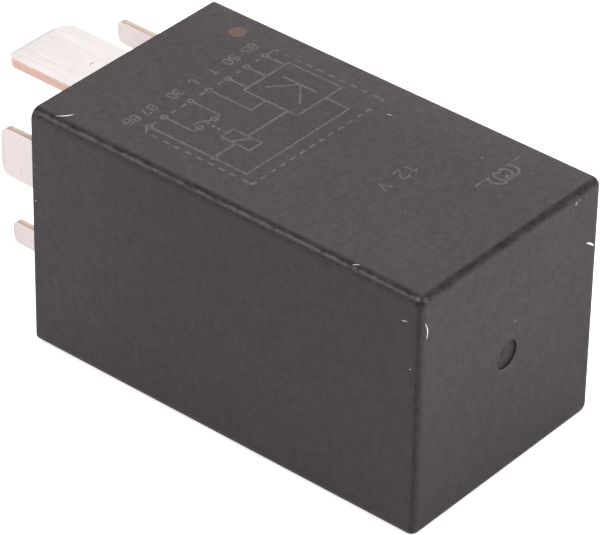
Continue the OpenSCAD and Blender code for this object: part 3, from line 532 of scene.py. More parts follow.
# %% Laser line
def patchy_matt(name, pale, dark):
    """Matt and uneven in small patches, as foamed or rubbed plastic and a dab of paint are."""
    made, add, shader, where = new_material(name)
    patches = add("TexNoise", {"Vector": where, "Scale": per_mm(0.5), "Detail": 3.0})
    amount = add("MapRange", [patches, 0.35, 0.65])
    tone = add("Mix RGBA", {0: amount, 6: dark, 7: pale})
    relief = add("Bump", {"Strength": 0.2, "Distance": 0.01 * MM, "Height": patches})
    feed(shader, {"Base Color": tone, "Roughness": 0.8, "Specular IOR Level": 0.15, "Normal": relief})
    return made


laser_line = patchy_matt("pbt_laser_foamed", "5a5456", "494345")
print("made", laser_line.name)

# %% Drawing tools
def on_top(x, y):
    """A point of the upper side, from millimetres along it from the rim and across from its middle."""
    return (rim_x + x * MM, y * MM, top_z)


def open_piece(name, primitive, **measures):
    """Adds a primitive with its origin at the frame's, and opens it for editing, all of it selected."""
    bpy.ops.object.select_all(action="DESELECT")
    primitive(**measures)
    piece = bpy.context.object
    piece.name = name
    bpy.ops.object.transform_apply(location=True, rotation=True, scale=True)
    bpy.ops.object.mode_set(mode="EDIT")
    bpy.ops.mesh.select_all(action="SELECT")
    return piece


def open_drawing(name):
    """Starts an empty mesh, open for editing."""
    drawn = open_piece(name, bpy.ops.mesh.primitive_plane_add, size=MM)
    bpy.ops.mesh.delete(type="VERT")
    return drawn


def pull_wire(points):
    """Adds a vertex at the first point and extrudes it from point to point, in edit mode."""
    bpy.ops.mesh.select_all(action="DESELECT")
    bpy.ops.mesh.primitive_plane_add(size=MM, location=points[0])
    bpy.ops.mesh.merge(type="CENTER")
    for start, stop in zip(points, points[1:]):
        bpy.ops.mesh.extrude_region_move(TRANSFORM_OT_translate={"value": Vector(stop) - Vector(start)})


# %% From a drawing to pressed lines
def own_material(piece, material):
    """Gives a piece its one material."""
    piece.data.materials.clear()
    piece.data.materials.append(material)


def draw_marking(name, material, paths, rings=(), face=on_top, pressed=(1, 1, 0.1), width=0.3):
    """Draws paths and rings on a face, and turns them into lines that are pressed low along one axis."""
    drawn = open_drawing(name)
    for path in paths:
        pull_wire([face(*point) for point in path])
    for x, y, radius in rings:
        bpy.ops.mesh.select_all(action="DESELECT")
        bpy.ops.mesh.primitive_circle_add(vertices=20, radius=radius * MM, location=face(x, y))
    close_piece()
    bpy.ops.object.convert(target="CURVE")
    drawn.data.bevel_depth = width / 2 * MM
    drawn.data.bevel_resolution = 1
    drawn.data.use_fill_caps = True
    bpy.ops.object.convert(target="MESH")
    bpy.ops.object.mode_set(mode="EDIT")
    bpy.ops.mesh.select_all(action="SELECT")
    bpy.ops.transform.resize(value=pressed, center_override=face(0, 0))
    close_piece(outward=True)
    own_material(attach(drawn, "housing"), material)
    print(name, len(drawn.data.polygons), "faces")


# %% Wires of the diagram, in millimetres from the rim and from the middle
PIN_X = 11.65
PINS = {"85": 9.6, "50": 6.5, "T": 3.4, "L": 0.3, "30": -2.65, "87": -6.9, "86": -9.32}
RING = 0.32
BOX = (14.5, 2.75, 22.05, 10.2)
COIL = (18.7, -5.75, 22.65, -3.75)
CONTACT_X, COIL_X, LAMP_X, RETURN_X = 15.85, 20.7, 17.65, 25.35


def dashes(start, stop, dash, gap):
    """Cuts a straight line into dashes."""
    start, stop = Vector(start), Vector(stop)
    ahead = (stop - start).normalized()
    count = int(((stop - start).length + gap) / (dash + gap))
    starts = [start + ahead * i * (dash + gap) for i in range(count)]
    return [(here, here + ahead * dash) for here in starts]


def outline(low_x, low_y, high_x, high_y):
    """A rectangle's corners, back to the first."""
    return [(low_x, low_y), (high_x, low_y), (high_x, high_y), (low_x, high_y), (low_x, low_y)]


start_x = PIN_X + RING
wires = [outline(*BOX), outline(*COIL)]
wires += [[(start_x, PINS[pin]), (BOX[0], PINS[pin])] for pin in ("85", "50", "T")]
wires += [
    [(start_x, PINS["L"]), (LAMP_X, PINS["L"]), (LAMP_X, BOX[1])],
    [(start_x, PINS["30"]), (CONTACT_X, PINS["30"]), (CONTACT_X, -3.3)],
    [(start_x, PINS["87"]), (CONTACT_X, PINS["87"]), (CONTACT_X, -6.3)],
    [(15.1, -6.1), (15.0, -5.6), (15.1, -5.0), (15.95, -3.9)],
    [(start_x, PINS["86"]), (RETURN_X, PINS["86"]), (RETURN_X, 7.4), (BOX[2], 7.4)],
    [(COIL_X, COIL[3]), (COIL_X, BOX[1])],
    [(COIL_X, COIL[1]), (COIL_X, PINS["86"])],
    [(COIL_X - 0.65, COIL[1]), (COIL_X + 0.65, COIL[3])],
    [(15.95, 7.65), (20.65, 7.65)],
    [(15.85, 4.8), (18.35, 7.65), (20.75, 4.7)],
]
wires += dashes((15.7, -4.7), (COIL[0], -4.8), 0.45, 0.35)
rings = [(PIN_X, y, RING) for y in PINS.values()]
rings += [(CONTACT_X, -3.6, RING), (CONTACT_X, -5.95, RING), (COIL_X, PINS["86"], 0.25)]
print(len(wires), "wires,", len(rings), "rings")

# %% Dashed frame, whose left side lies between the rings of the pins
DASH, GAP, ELBOW = 0.8, 0.77, 0.6
low_x, low_y, high_x, high_y = PIN_X, -10.4, 27.05, 11.2
wires += [
    [(low_x + 0.75, low_y), (low_x + 0.5, low_y), (low_x, PINS["86"] - RING)],
    [(low_x + ELBOW, high_y), (low_x, high_y), (low_x, PINS["85"] + RING)],
    [(high_x - ELBOW, low_y), (high_x, low_y), (high_x, low_y + ELBOW)],
    [(high_x - ELBOW, high_y), (high_x, high_y), (high_x, high_y - ELBOW)],
]
for y in (low_y, high_y):
    wires += dashes((low_x + ELBOW + GAP, y), (high_x - ELBOW, y), DASH, GAP)
wires += dashes((high_x, low_y + ELBOW + GAP), (high_x, high_y - ELBOW), DASH, GAP)
SIDE_DASHES = [(0.42,), (0.42,), (0.4,), (0.38,), (0.28, 0.65), (0.7,)]
heights = list(PINS.values())
for upper, lower, shares in zip(heights, heights[1:], SIDE_DASHES):
    for share in shares:
        y = upper + (lower - upper) * share
        wires.append([(PIN_X, y + DASH / 2), (PIN_X, y - DASH / 2)])
draw_marking("wiring_diagram", laser_line, wires, rings)

# %% Numbers, drawn with single strokes on a grid four wide and six high
GLYPHS = {
    "0": [[(1, 0), (3, 0), (4, 1), (4, 5), (3, 6), (1, 6), (0, 5), (0, 1), (1, 0)]],
    "1": [[(0.8, 4.8), (2.4, 6), (2.4, 0)]],
    "2": [[(0, 5), (1, 6), (3, 6), (4, 5), (4, 4), (0, 0), (4, 0)]],
    "3": [[(0, 5), (1, 6), (3, 6), (4, 5), (4, 4), (3, 3.2), (1.6, 3.2)],
          [(3, 3.2), (4, 2.4), (4, 1), (3, 0), (1, 0), (0, 1)]],
    "5": [[(4, 6), (0.3, 6), (0, 3.4), (3, 3.6), (4, 2.6), (4, 1), (3, 0), (1, 0), (0, 0.8)]],
    "6": [[(3.6, 5.4), (3, 6), (1, 6), (0, 5), (0, 1), (1, 0), (3, 0), (4, 1), (4, 2.5), (3, 3.4),
           (0, 3.2)]],
    "7": [[(0, 6), (4, 6), (1.4, 0)]],
    "8": [[(1, 0), (3, 0), (4, 1), (4, 2.3), (3, 3.2), (1, 3.2), (0, 2.3), (0, 1), (1, 0)],
          [(1, 3.2), (0.3, 4), (0.3, 5.2), (1.2, 6), (2.8, 6), (3.7, 5.2), (3.7, 4), (3, 3.2)]],
    "L": [[(0.3, 6), (0.3, 0), (3.6, 0)]],
    "T": [[(0, 6), (4, 6)], [(2, 6), (2, 0)]],
    "V": [[(0, 6), (2, 0), (4, 6)]],
    " ": [],
}
GLYPH_WIDTH, GLYPH_HEIGHT, ADVANCE = 4, 6, 5.6


def written(text, x, y, height):
    """Strokes of a text centred on a point, its lines along -Y and its tops towards +X."""
    unit = height / GLYPH_HEIGHT
    start = y + (len(text) * ADVANCE - (ADVANCE - GLYPH_WIDTH)) * unit / 2
    strokes = []
    for place_in_text, glyph in enumerate(text):
        for stroke in GLYPHS[glyph]:
            strokes.append([(x - height / 2 + up * unit, start - (place_in_text * ADVANCE + across) * unit)
                            for across, up in stroke])
    return strokes


LABEL_X, LABEL_HEIGHT = 9.45, 1.15
LABEL_Y = {"86": -9.62}
VOLTS_AT, VOLTS_HEIGHT = (37.55, 0.6), 1.6
strokes = written("12 V", *VOLTS_AT, VOLTS_HEIGHT)
for pin, y in reversed(PINS.items()):
    strokes = written(pin, LABEL_X, LABEL_Y.get(pin, y), LABEL_HEIGHT) + strokes
draw_marking("terminal_numbers", laser_line, strokes, width=0.26)

# %% Sign of a preheating coil, in three loops
LOOPS, STEPS = 3, 16
SIGN_X, SIGN_Y, LOOP_UP, LOOP_SIDE = 45.65, 9.9, 0.95, 0.75
LEAD_ENDS = (12.2, 4.6)
turns = []
for step in range(LOOPS * STEPS + 1):
    angle = step / STEPS * 2 * math.pi
    turns.append((SIGN_X - LOOP_UP * math.cos(angle), SIGN_Y - step / STEPS + LOOP_SIDE * math.sin(angle)))
coil_sign = [(turns[0][0], LEAD_ENDS[0])] + turns + [(turns[-1][0], LEAD_ENDS[1])]
draw_marking("preheat_sign", laser_line, [coil_sign])

# %% [markdown]
# The tester's dot near the far corner is a dab of paint: a disc that is pulled up a little, with a
# softened rim.

# %% Test dot
DOT_AT, DOT_RADIUS, DOT_RIM, DOT_LIFT = (6.25, 11.25), 1.04 * MM, 0.12 * MM, 0.01 * MM
test_dot = open_piece("test_dot", bpy.ops.mesh.primitive_circle_add, vertices=40, radius=DOT_RADIUS,
                      fill_type="NGON", location=on_top(*DOT_AT))
bpy.ops.mesh.extrude_region_move(TRANSFORM_OT_translate={"value": (0, 0, DOT_LIFT)})
bpy.ops.mesh.inset(thickness=DOT_RIM)
bpy.ops.transform.translate(value=(0, 0, DOT_LIFT))
close_piece()
paint = patchy_matt("paint_dab_brown", "594c47", "4e433f")
own_material(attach(test_dot, "housing"), paint)
print("test dot", len(test_dot.data.polygons), "faces")

# %% [markdown]
# ## Numbers on the base
#
# The base carries the number of each blade beside it, cut into the mould and so raised on the part.
# They are drawn with the same strokes as the laser's, but wider and higher, on the face at the rim.
# The socket rubs them, so the plastic is a little paler there.

# %% Raised numbers
def on_base(y, z):
    """A point of the base's outer face, in millimetres across and up."""
    return (rim_x, y * MM, z * MM)


BASE_NUMBERS = {"30": (0.0, 22.9), "87": (4.0, 7.6), "85": (-8.9, 15.3), "86": (8.9, 15.3),
                "50": (-10.6, 6.2), "L": (10.5, 20.3), "T": (10.5, 6.4)}
RAISED_HEIGHT = 1.7
rubbed_pbt = patchy_matt("pbt_glass_filled_rubbed", "625b5c", "4f494a")
strokes = []
for number, (y, z) in BASE_NUMBERS.items():
    strokes += [[(across, up) for up, across in stroke] for stroke in written(number, z, y, RAISED_HEIGHT)]
draw_marking("base_numbers", rubbed_pbt, strokes,
             face=on_base, pressed=(0.9, 1, 1), width=0.34)

# %% [markdown]
# ## Lint and nicks
#
# A few white slivers cling to the edges where the plastic was knocked, and grey ones lie in scrapes.
# Each is a thin rod that is cut into short lengths, bowed in the middle and drawn to points at its ends.

# %% Torn plastic
def torn_pbt(name, dark, pale):
    """Torn plastic: fine threads that scatter light, white where they stand off and grey where they lie."""
    made, add, shader, where = new_material(name)
    threads = add("TexNoise", {"Vector": where, "Scale": per_mm(0.1)})
    tone = add("Mix RGBA", {0: threads, 6: dark, 7: pale})
    feed(shader, {"Base Color": tone, "Roughness": 0.7})
    return made


POINT = 0.25


def sliver(torn, name, start, stop, bow, radius):
    """A thin rod between two points in mm from the rim, bowed sideways and pointed at both ends."""
    start, stop, bow = rim + Vector(start) * MM, rim + Vector(stop) * MM, Vector(bow) * MM
    way = stop - start
    ahead = way.normalized()
    made = open_piece(name, bpy.ops.mesh.primitive_cylinder_add, vertices=8, radius=radius * MM,
                      depth=way.length, location=(start + stop) / 2,
                      rotation=way.to_track_quat("Z", "Y").to_euler())
    mesh = bmesh.from_edit_mesh(made.data)
    bpy.ops.mesh.select_all(action="DESELECT")
    for edge in mesh.edges:
        edge.select_set(abs((edge.verts[1].co - edge.verts[0].co).normalized().dot(ahead)) > 0.9)
    bpy.ops.mesh.subdivide(number_cuts=6)
    mesh = bmesh.from_edit_mesh(made.data)
    for vert in mesh.verts:
        share = min(max((vert.co - start).dot(ahead) / way.length, 0), 1)
        centre = start + way * share
        swell = POINT + (1 - POINT) * math.sin(math.pi * share)
        vert.co = centre + (vert.co - centre) * swell + bow * math.sin(math.pi * share)
    bmesh.update_edit_mesh(made.data)
    close_piece(smooth=50)
    own_material(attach(made, "housing"), torn)


# %% Slivers: name, both ends, bow and radius
TOP, END, SIDE = top_z / MM, (end_x - rim_x) / MM, near_y / MM
WHITE_SLIVERS = [
    ("sliver_rim", (2.82, -14.34, TOP - 0.05), (4.08, -12.93, TOP), (0.1, -0.1, 0), 0.06),
    ("sliver_near_edge", (END, -14.38, 27.45), (END, -14.07, 25.3), (0, 0.25, 0), 0.06),
    ("sliver_far_edge", (END, 12.9, 23.2), (END - 0.1, 14.5, 21.95), (0.02, 0, 0.1), 0.13),
]
GREY_SLIVERS = [
    ("sliver_far_corner", (END, 10.43, 29.17), (END - 0.03, 10.72, 29.58), (0, 0, 0), 0.09),
    ("sliver_far_scratch", (END, 10.95, 29.5), (END - 0.03, 11.45, 29.6), (0, 0, 0.02), 0.03),
    ("sliver_long_edge", (44.06, -14.61, TOP - 0.17), (44.81, -14.26, TOP - 0.03), (0, 0, 0.02), 0.06),
    ("sliver_corner", (51.13, SIDE, 27.14), (51.84, SIDE, 27.35), (0, 0, 0.02), 0.07),
    ("sliver_side", (52.25, SIDE, 21.6), (52.57, SIDE, 21.69), (0, 0, 0.02), 0.05),
    ("sliver_side_rim", (0.25, SIDE, 18.95), (0.5, SIDE, 19.05), (0, 0, 0.03), 0.07),
    ("sliver_end", (END, 0.85, 19.5), (END, 1.02, 19.65), (0, 0.02, 0.02), 0.04),
    ("sliver_top", (29.02, 9.25, TOP), (29.61, 9.46, TOP), (0.02, 0.02, 0), 0.05),
]
lint = torn_pbt("pbt_torn_white", "d8d3d1", "f7f4f3")
scraped = torn_pbt("pbt_scraped_grey", "8f898a", "b0abaa")
for torn, slivers in ((lint, WHITE_SLIVERS), (scraped, GREY_SLIVERS)):
    for measures in slivers:
        sliver(torn, *measures)
    print(len(slivers), "slivers of", torn.name)

# %% [markdown]
# ## Inside: metals of the relay
#
# The magnet is zinc-plated iron, the contact spring is rolled bronze and the contacts are silver. All
# of them are bare metal that differs in colour, in the direction of its grain and in gloss, so one
# function makes them, with the grain drawn out along the way the sheet was rolled.

# %% Bare metals
def bare_metal(name, dark, pale, grain, drawn_out, gloss):
    """Metal with a grain: two colours, grain size in mm, its stretch along X, Y, Z, and its gloss range."""
    made, add, shader, where = new_material(name)
    along = add("Mapping", {"Vector": where, "Scale": drawn_out})
    lines = add("TexNoise", {"Vector": along, "Scale": per_mm(grain), "Detail": 4.0})
    amount = add("MapRange", [lines, 0.35, 0.65])
    tone = add("Mix RGBA", {0: amount, 6: dark, 7: pale})
    shine = add("MapRange", {0: amount, 3: gloss[0], 4: gloss[1]})
    relief = add("Bump", {"Strength": 0.2, "Distance": 0.01 * MM, "Height": lines})
    feed(shader, {"Base Color": tone, "Metallic": 1.0, "Roughness": shine, "Normal": relief})
    return made


dress(bare_metal("iron_zinc_plated", "8f9193", "adafb0", 0.4, (0.3, 1, 1), (0.35, 0.5)),
      "yoke", "core", "armature", "armature_rivets", "yoke_rivets")
dress(bare_metal("silver_contact_worn", "a3a19a", "c9c7c2", 0.3, (1, 1, 1), (0.3, 0.55)),
      "moving_contact", "fixed_contact")
bronze = bare_metal("bronze_spring_rolled", "a07c3a", "bd9a58", 0.2, (1, 1, 0.05), (0.25, 0.4))
strand_copper = bare_metal("copper_strand_drawn", "96532f", "b8734c", 0.15, (1, 1, 1), (0.3, 0.5))

# %% [markdown]
# ## Contact spring and braid, which bend
#
# Two pieces bend when the armature closes. The spring keeps its shape, and a copy of it with merged
# seams takes its place. The braid gets its strands: two ribbed cords on the same line, twisted against
# each other, whose ribs cross like woven wire. Both of its ends are pressed flat for welding.

# %% Spring
spring = merged_copy("contact_spring", "spring_leaf")
close_piece()
own_material(spring, bronze)
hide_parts("contact_spring")
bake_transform(spring)
print("spring", len(spring.data.vertices), "points")

# %% Line of the braid, from the blade over the armature and down to the spring
BRAID_RADIUS, BRAID_STEP = 0.9 * MM, 0.4 * MM
UPPER_TURN, LOWER_TURN = 2.5 * MM, 2.0 * MM
braid_low, braid_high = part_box("braid")
braid_y = (braid_low.y + braid_high.y) / 2
run_z, drop_x = braid_high.z - BRAID_RADIUS, braid_high.x - BRAID_RADIUS
pad_side = braid_high.y - braid_low.y
weld_z = braid_low.z + pad_side / 2
first_x = braid_low.x + pad_side
quarter = [math.radians(9 * i) for i in range(11)]
corners = [Vector((first_x, braid_y, run_z)), Vector((drop_x - UPPER_TURN, braid_y, run_z))]
for a in quarter[1:]:
    off_x, off_z = UPPER_TURN * (1 - math.sin(a)), UPPER_TURN * (1 - math.cos(a))
    corners.append(Vector((drop_x - off_x, braid_y, run_z - off_z)))
for a in quarter:
    off_x, off_z = LOWER_TURN * (1 - math.cos(a)), LOWER_TURN * (1 - math.sin(a))
    corners.append(Vector((drop_x - off_x, braid_y, weld_z + off_z)))
line = [corners[0]]
for corner in corners[1:]:
    start = line[-1]
    whole = math.ceil((corner - start).length / BRAID_STEP)
    line += [start.lerp(corner, (i + 1) / whole) for i in range(whole)]
print("braid line", len(line), "points")

# %% Ribbed section, made from a circle that is pulled in between the ribs
RIBS, RIB_DEPTH = 8, 0.07
section = open_piece("section", bpy.ops.mesh.primitive_circle_add, vertices=RIBS * 4, radius=BRAID_RADIUS)
mesh = bmesh.from_edit_mesh(section.data)
for vert in mesh.verts:
    angle = math.atan2(vert.co.y, vert.co.x)
    vert.co *= 1 - RIB_DEPTH + RIB_DEPTH * math.cos(RIBS * angle)
bmesh.update_edit_mesh(section.data)
close_piece()
bpy.ops.object.convert(target="CURVE")
print("section with", RIBS, "ribs")

# %% Two cords, twisted to the right and to the left
PITCH = 5 * MM
cords = []
for hand in (1, -1):
    cord = open_drawing("cord")
    pull_wire(line)
    close_piece()
    bpy.ops.object.convert(target="CURVE")
    gone = 0.0
    points = cord.data.splines[0].points
    for index, point in enumerate(points):
        if index:
            gone += (Vector(point.co[:3]) - Vector(points[index - 1].co[:3])).length
        point.tilt = hand * gone / PITCH * 2 * math.pi
    cord.data.twist_mode = "MINIMUM"
    cord.data.bevel_mode = "OBJECT"
    cord.data.bevel_object = section
    cord.data.use_fill_caps = True
    bpy.ops.object.convert(target="MESH")
    cords.append(cord)
print("cords", [len(cord.data.polygons) for cord in cords], "faces")

# %% Welded pads, and the braid as one piece
PAD_OVERLAP, PAD_LENGTH, PAD_PAST, PAD_BEVEL = 0.3 * MM, 0.75 * MM, 0.1 * MM, 0.12 * MM
weld_x = drop_x - LOWER_TURN
pads = []
for low_x, low_z, high_x, high_z in (
    (braid_low.x, blade_top, first_x + PAD_OVERLAP, braid_high.z),
    (weld_x - PAD_LENGTH, braid_low.z, weld_x + PAD_PAST, braid_low.z + pad_side),
):
    low, high = Vector((low_x, braid_low.y, low_z)), Vector((high_x, braid_high.y, high_z))
    pads.append(open_piece("pad", bpy.ops.mesh.primitive_cube_add, size=1, location=(low + high) / 2,
                           scale=high - low))
    bpy.ops.mesh.bevel(offset=PAD_BEVEL, segments=2)
    close_piece()


def join_pieces(name, pieces, pattern):
    """Deletes the pattern that the pieces were made from, and joins them into one."""
    select_only(pattern)
    bpy.ops.object.delete()
    select_only(*pieces)
    bpy.ops.object.join()
    joined = bpy.context.object
    joined.name = name
    return joined


woven_braid = join_pieces("woven_braid", cords + pads, section)
bpy.ops.object.mode_set(mode="EDIT")
close_piece(smooth=35, outward=True)
own_material(woven_braid, strand_copper)
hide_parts("braid")
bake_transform(woven_braid)
print("braid", len(woven_braid.data.polygons), "faces")

# %% [markdown]
# ## Inside: bobbin and winding
#
# The bobbin is natural polyamide, which is cream and lets light in a little. The winding is copper
# wire under a clear reddish enamel: each turn is a round ridge, and the ridges run round the coil, so
# a wave along X draws them, with painted shade darkening the grooves between them. The real wire is
# finer, about 0.15 mm, and is drawn here at 0.6 mm.

# %% Bobbin and winding materials
bobbin_plastic, add, shader, where = new_material("polyamide_natural_moulded")
clouds = add("TexNoise", {"Vector": where, "Scale": per_mm(3), "Detail": 3.0})
tone = add("Mix RGBA", {0: clouds, 6: "cfc6b2", 7: "dcd6c8"})
shine = add("MapRange", {0: clouds, 3: 0.4, 4: 0.55})
feed(shader, {"Base Color": tone, "Roughness": shine, "Subsurface Weight": 0.15,
              "Subsurface Radius": (MM, 0.8 * MM, 0.5 * MM)})
dress(bobbin_plastic, "bobbin")

# The bands of a wave texture repeat every tenth of pi
WAVE = math.pi / 10
WIRE_PITCH = 0.6
winding, add, shader, where = new_material("copper_wire_enamelled")
turns = add("TexWave", {"Vector": where, "Scale": per_mm(WIRE_PITCH) * WAVE,
                        "Distortion": 0.6, "Detail": 1.0, "Detail Scale": 0.2},
            wave_type="BANDS", bands_direction="X", wave_profile="SIN").outputs["Fac"]
# Painted shade: the wire is darker in the grooves between the turns
tone = add("Mix RGBA", {0: turns, 6: "5c2410", 7: "b0582c"})
shine = add("MapRange", {0: turns, 3: 0.5, 4: 0.3})
relief = add("Bump", {"Strength": 0.6, "Distance": 0.1 * MM, "Height": turns})
feed(shader, {"Base Color": tone, "Metallic": 0.8, "Roughness": shine, "Coat Weight": 0.5,
              "Normal": relief})
dress(winding, "coil_winding")

# %% [markdown]
# ## Inside: timer board
#
# The board is glass-fibre laminate under green lacquer, with the weave of the glass just showing. Its
# copper tracks lie on the back, under the same lacquer, which is lighter and glossier over them. They
# are drawn as the marking is, from wire to wire, and pressed flat.

# %% Board material
CLOTH_PITCH = 1.6


def lacquered(name, dark, pale, gloss):
    """Green lacquer over glass cloth, whose threads show faintly, drawn about three times as coarse."""
    made, add, shader, where = new_material(name)
    threads = [add("TexWave", {"Vector": where, "Scale": per_mm(CLOTH_PITCH) * WAVE, "Distortion": 0.8},
                   wave_type="BANDS", bands_direction=way).outputs["Fac"] for way in "XZ"]
    cloth = add("Math MULTIPLY", [threads[0], threads[1]])
    clouds = add("TexNoise", {"Vector": where, "Scale": per_mm(6), "Detail": 3.0})
    amount = add("Math MULTIPLY_ADD", [cloth, 0.2, clouds])
    tone = add("Mix RGBA", {0: amount, 6: dark, 7: pale})
    shine = add("MapRange", {0: clouds, 3: gloss[0], 4: gloss[1]})
    relief = add("Bump", {"Strength": 0.2, "Distance": 0.02 * MM, "Height": cloth})
    feed(shader, {"Base Color": tone, "Roughness": shine, "Normal": relief})
    return made


dress(lacquered("laminate_green_lacquer", "1f4a2b", "2d603c", (0.3, 0.5)), "circuit_board")
over_copper = lacquered("lacquer_over_copper", "3a7040", "4b8450", (0.2, 0.35))

# %% Tracks on the back, in millimetres from the rim and up
board_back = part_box("circuit_board")[1].y


def on_board(x, z):
    """A point of the board's back, from millimetres along it from the rim and up."""
    return (rim_x + x * MM, board_back, z * MM)


TRACKS = [
    [(5.3, 6.2), (13.74, 6.2), (16.5, 3.44)],
    [(5.3, 13.45), (8.85, 13.45), (12, 10.3), (16.5, 10.3), (18.5, 8.3), (18.5, 5.44), (20.5, 3.44)],
    [(20.5, 3.44), (42.59, 3.44), (45.2, 6.05)],
    [(5.3, 17.15), (8.85, 17.15), (12, 20.3), (12, 25), (14.16, 27.16), (36.05, 27.16), (38.59, 24.62)],
    [(16.5, 17), (16.5, 13.6), (28.5, 13.6)],
    [(20.5, 17), (33.5, 17), (36.04, 19.54), (38.59, 19.54)],
    [(38.59, 22.08), (41.41, 22.08), (41.59, 22.26), (41.59, 24.99), (42.9, 26.3)],
    [(32.5, 13.6), (36.08, 17.18), (41.59, 17.18)],
    [(41.59, 14.64), (40.04, 14.64), (36.5, 11.1), (36.5, 7.44), (32.5, 3.44)],
    [(45.2, 9.55), (45.2, 10.63), (49.21, 14.64)],
    [(47.9, 26.3), (49.21, 24.99), (49.21, 22.26)],
    [(41.59, 19.72), (44.13, 19.72), (46.67, 17.18), (49.21, 17.18), (49.21, 19.72)],
]
draw_marking("board_tracks", over_copper, TRACKS,
             face=on_board, pressed=(1, 0.12, 1), width=0.9)

# %% [markdown]
# Solder climbs each wire end in a hollow cone as it sets. One joint is modelled: a cone whose sides
# are cut once, with the ring between drawn in and the upper rim rounded. It is then copied to every
# place where a wire comes through the board, which is measured on the parts themselves.

# %% One solder joint
FOOT, NECK, RISE, WAIST = 0.85 * MM, 0.42 * MM, 0.66 * MM, 0.78
SINK, NECK_ROUND = 0.01 * MM, 0.1 * MM
middle_y = board_back + RISE / 2 - SINK
joint = open_piece("joint", bpy.ops.mesh.primitive_cone_add, vertices=16, radius1=FOOT, radius2=NECK,
                   depth=RISE, location=(0, middle_y, 0), rotation=(-math.pi / 2, 0, 0))
mesh = bmesh.from_edit_mesh(joint.data)
bpy.ops.mesh.select_all(action="DESELECT")
for edge in mesh.edges:
    edge.select_set(abs(edge.verts[0].co.y - edge.verts[1].co.y) > RISE / 2)
bpy.ops.mesh.subdivide(number_cuts=1)
mesh = bmesh.from_edit_mesh(joint.data)
for vert in mesh.verts:
    vert.select_set(abs(vert.co.y - middle_y) < RISE / 10)
mesh.select_flush_mode()
bpy.ops.transform.resize(value=(WAIST, 1, WAIST), center_override=(0, board_back, 0))
mesh = bmesh.from_edit_mesh(joint.data)
bpy.ops.mesh.select_all(action="DESELECT")
for edge in mesh.edges:
    edge.select_set(all(vert.co.y > middle_y + RISE / 4 for vert in edge.verts))
bpy.ops.mesh.bevel(offset=NECK_ROUND, segments=2)
close_piece(smooth=50)
print("joint", len(joint.data.polygons), "faces")

# %% Wire ends behind the board, and a joint on each
WIRE_OUT, SAME_WIRE = 0.5 * MM, 1.6 * MM
wire_ends = []
for name, node in nodes.items():
    for vert in node.data.vertices:
        at = node.matrix_world @ vert.co
        if name not in ("cover", "base") and at.y > board_back + WIRE_OUT:
            at.y = 0
            group = next((g for g in wire_ends if (g[0] - at).length < SAME_WIRE), None)
            if group is None:
                group = []
                wire_ends.append(group)
            group.append(at)
copies = []
for group in wire_ends:
    middle = [(min(p[i] for p in group) + max(p[i] for p in group)) / 2 for i in range(3)]
    select_only(joint)
    bpy.ops.object.duplicate()
    bpy.ops.transform.translate(value=middle)
    bpy.ops.object.transform_apply(location=True)
    copies.append(bpy.context.object)
solder_joints = join_pieces("solder_joints", copies, joint)
solder = bare_metal("solder_tin_lead", "a5a6a6", "c4c5c4", 0.5, (1, 1, 1), (0.2, 0.4))
own_material(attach(solder_joints, "housing"), solder)
print(len(copies), "solder joints")

# %% [markdown]
# The parts on the board have a lacquered or moulded body and tinned wires. Body and wire differ only by
# their place along the part, so each material measures that place and changes from lacquer to metal
# there. Coloured rings tell a resistor's value, and a pale one marks an end of a diode.

# %% Parts with a body and tinned wires
BODY_MARGIN = 0.02


def board_part(name, tones, gloss, node, axis, body, bands=()):
    """Lacquer on the body, between two places in mm along an axis, and tin beyond it.

    Each band is the place of its middle, its width and its colour."""
    made, add, shader, where = new_material(name)
    along = add("SeparateXYZ", [where]).outputs[axis]
    speckle = add("TexNoise", {"Vector": where, "Scale": per_mm(0.6), "Detail": 4.0})
    tone = add("Mix RGBA", {0: speckle, 6: tones[0], 7: tones[1]})
    for middle, width, colour in bands:
        off = add("Math SUBTRACT", [along, middle * MM])
        off = add("Math ABSOLUTE", [off])
        ring = add("Math LESS_THAN", [off, width / 2 * MM])
        tone = add("Mix RGBA", {0: ring, 6: tone, 7: colour})
    off = add("Math SUBTRACT", [along, (body[0] + body[1]) / 2 * MM])
    off = add("Math ABSOLUTE", [off])
    wire = add("Math GREATER_THAN", [off, ((body[1] - body[0]) / 2 + BODY_MARGIN) * MM])
    tone = add("Mix RGBA", {0: wire, 6: tone, 7: "b9b7b4"})
    shine = add("MapRange", [speckle, 0.3, 0.7, gloss[0], gloss[1]])
    relief = add("Bump", {"Strength": 0.15, "Distance": 0.02 * MM, "Height": speckle})
    feed(shader, {"Base Color": tone, "Metallic": wire, "Roughness": shine, "Normal": relief})
    dress(made, node)


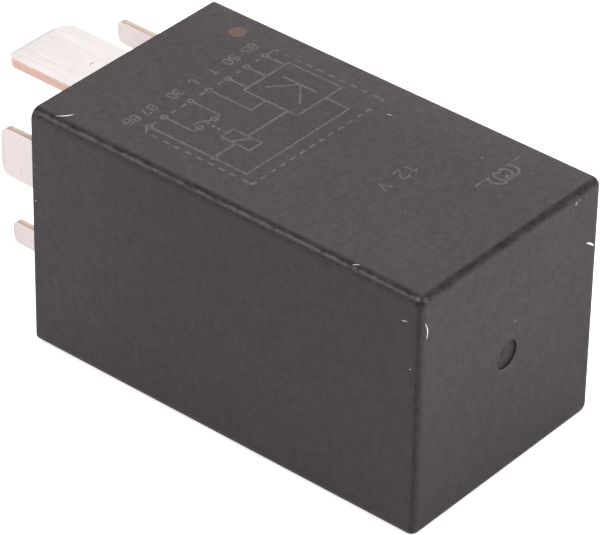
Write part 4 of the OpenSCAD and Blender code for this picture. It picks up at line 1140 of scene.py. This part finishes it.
def middle_of(node, axis):
    """Middle of a node along an axis, in millimetres."""
    low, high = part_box(node)
    return (low[axis] + high[axis]) / 2 / MM


# %% Resistors and diodes
EPOXY, BEIGE = ("1d1d1f", "29292b"), ("b59a6d", "c7ad80")
RING_COLOURS = ("59331c", "1b1a1a", "b04a1e", "c6a14a", "2f4d8c", "6b6b6e")
RING_PLACES, RING_WIDTH = (-2.4, -1.1, 0.0), 0.55
LAST_RING = (2.4, "a07f35")
DIODE_RING = (-1.8, 0.8, "b5b4b2")
RESISTOR_HALF, DIODE_HALF = 3.15, 2.6
for number in range(1, 7):
    node = f"resistor_{number}"
    z = middle_of(node, 2)
    bands = []
    for i, place in enumerate(RING_PLACES):
        bands.append((z + place, RING_WIDTH, RING_COLOURS[(number + i) % len(RING_COLOURS)]))
    bands.append((z + LAST_RING[0], RING_WIDTH, LAST_RING[1]))
    body = (z - RESISTOR_HALF, z + RESISTOR_HALF)
    board_part(f"lacquer_beige_ringed_{number}", BEIGE, (0.3, 0.45), node, 2, body, bands)
for number in range(1, 4):
    node = f"diode_{number}"
    z = middle_of(node, 2)
    body = (z - DIODE_HALF, z + DIODE_HALF)
    place, width, colour = DIODE_RING
    bands = [(z + place, width, colour)]
    board_part(f"epoxy_diode_ringed_{number}", EPOXY, (0.45, 0.6), node, 2, body, bands)

# %% Chip, transistor and capacitors
CHIP_HALF = 3.175
x = middle_of("timer_chip", 0)
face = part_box("circuit_board")[0].y / MM
board_part("epoxy_chip_black", EPOXY, (0.5, 0.65), "timer_chip", 0, (x - CHIP_HALF, x + CHIP_HALF))
board_part("epoxy_transistor_black", EPOXY, (0.5, 0.65), "driver_transistor", 1, (face - 6.6, face - 2))
board_part("lacquer_dipped_red", ("8e2f1f", "a63f2b"), (0.15, 0.3), "film_capacitor", 1,
           (face - 6.6, face - 0.1))
board_part("sleeve_shrunk_blue", ("23263a", "2b2f48"), (0.25, 0.35), "electrolytic_capacitor", 1,
           (face - 11.3, face - 0.1), [(face - 9.3, 0.7, "c9c9cf")])
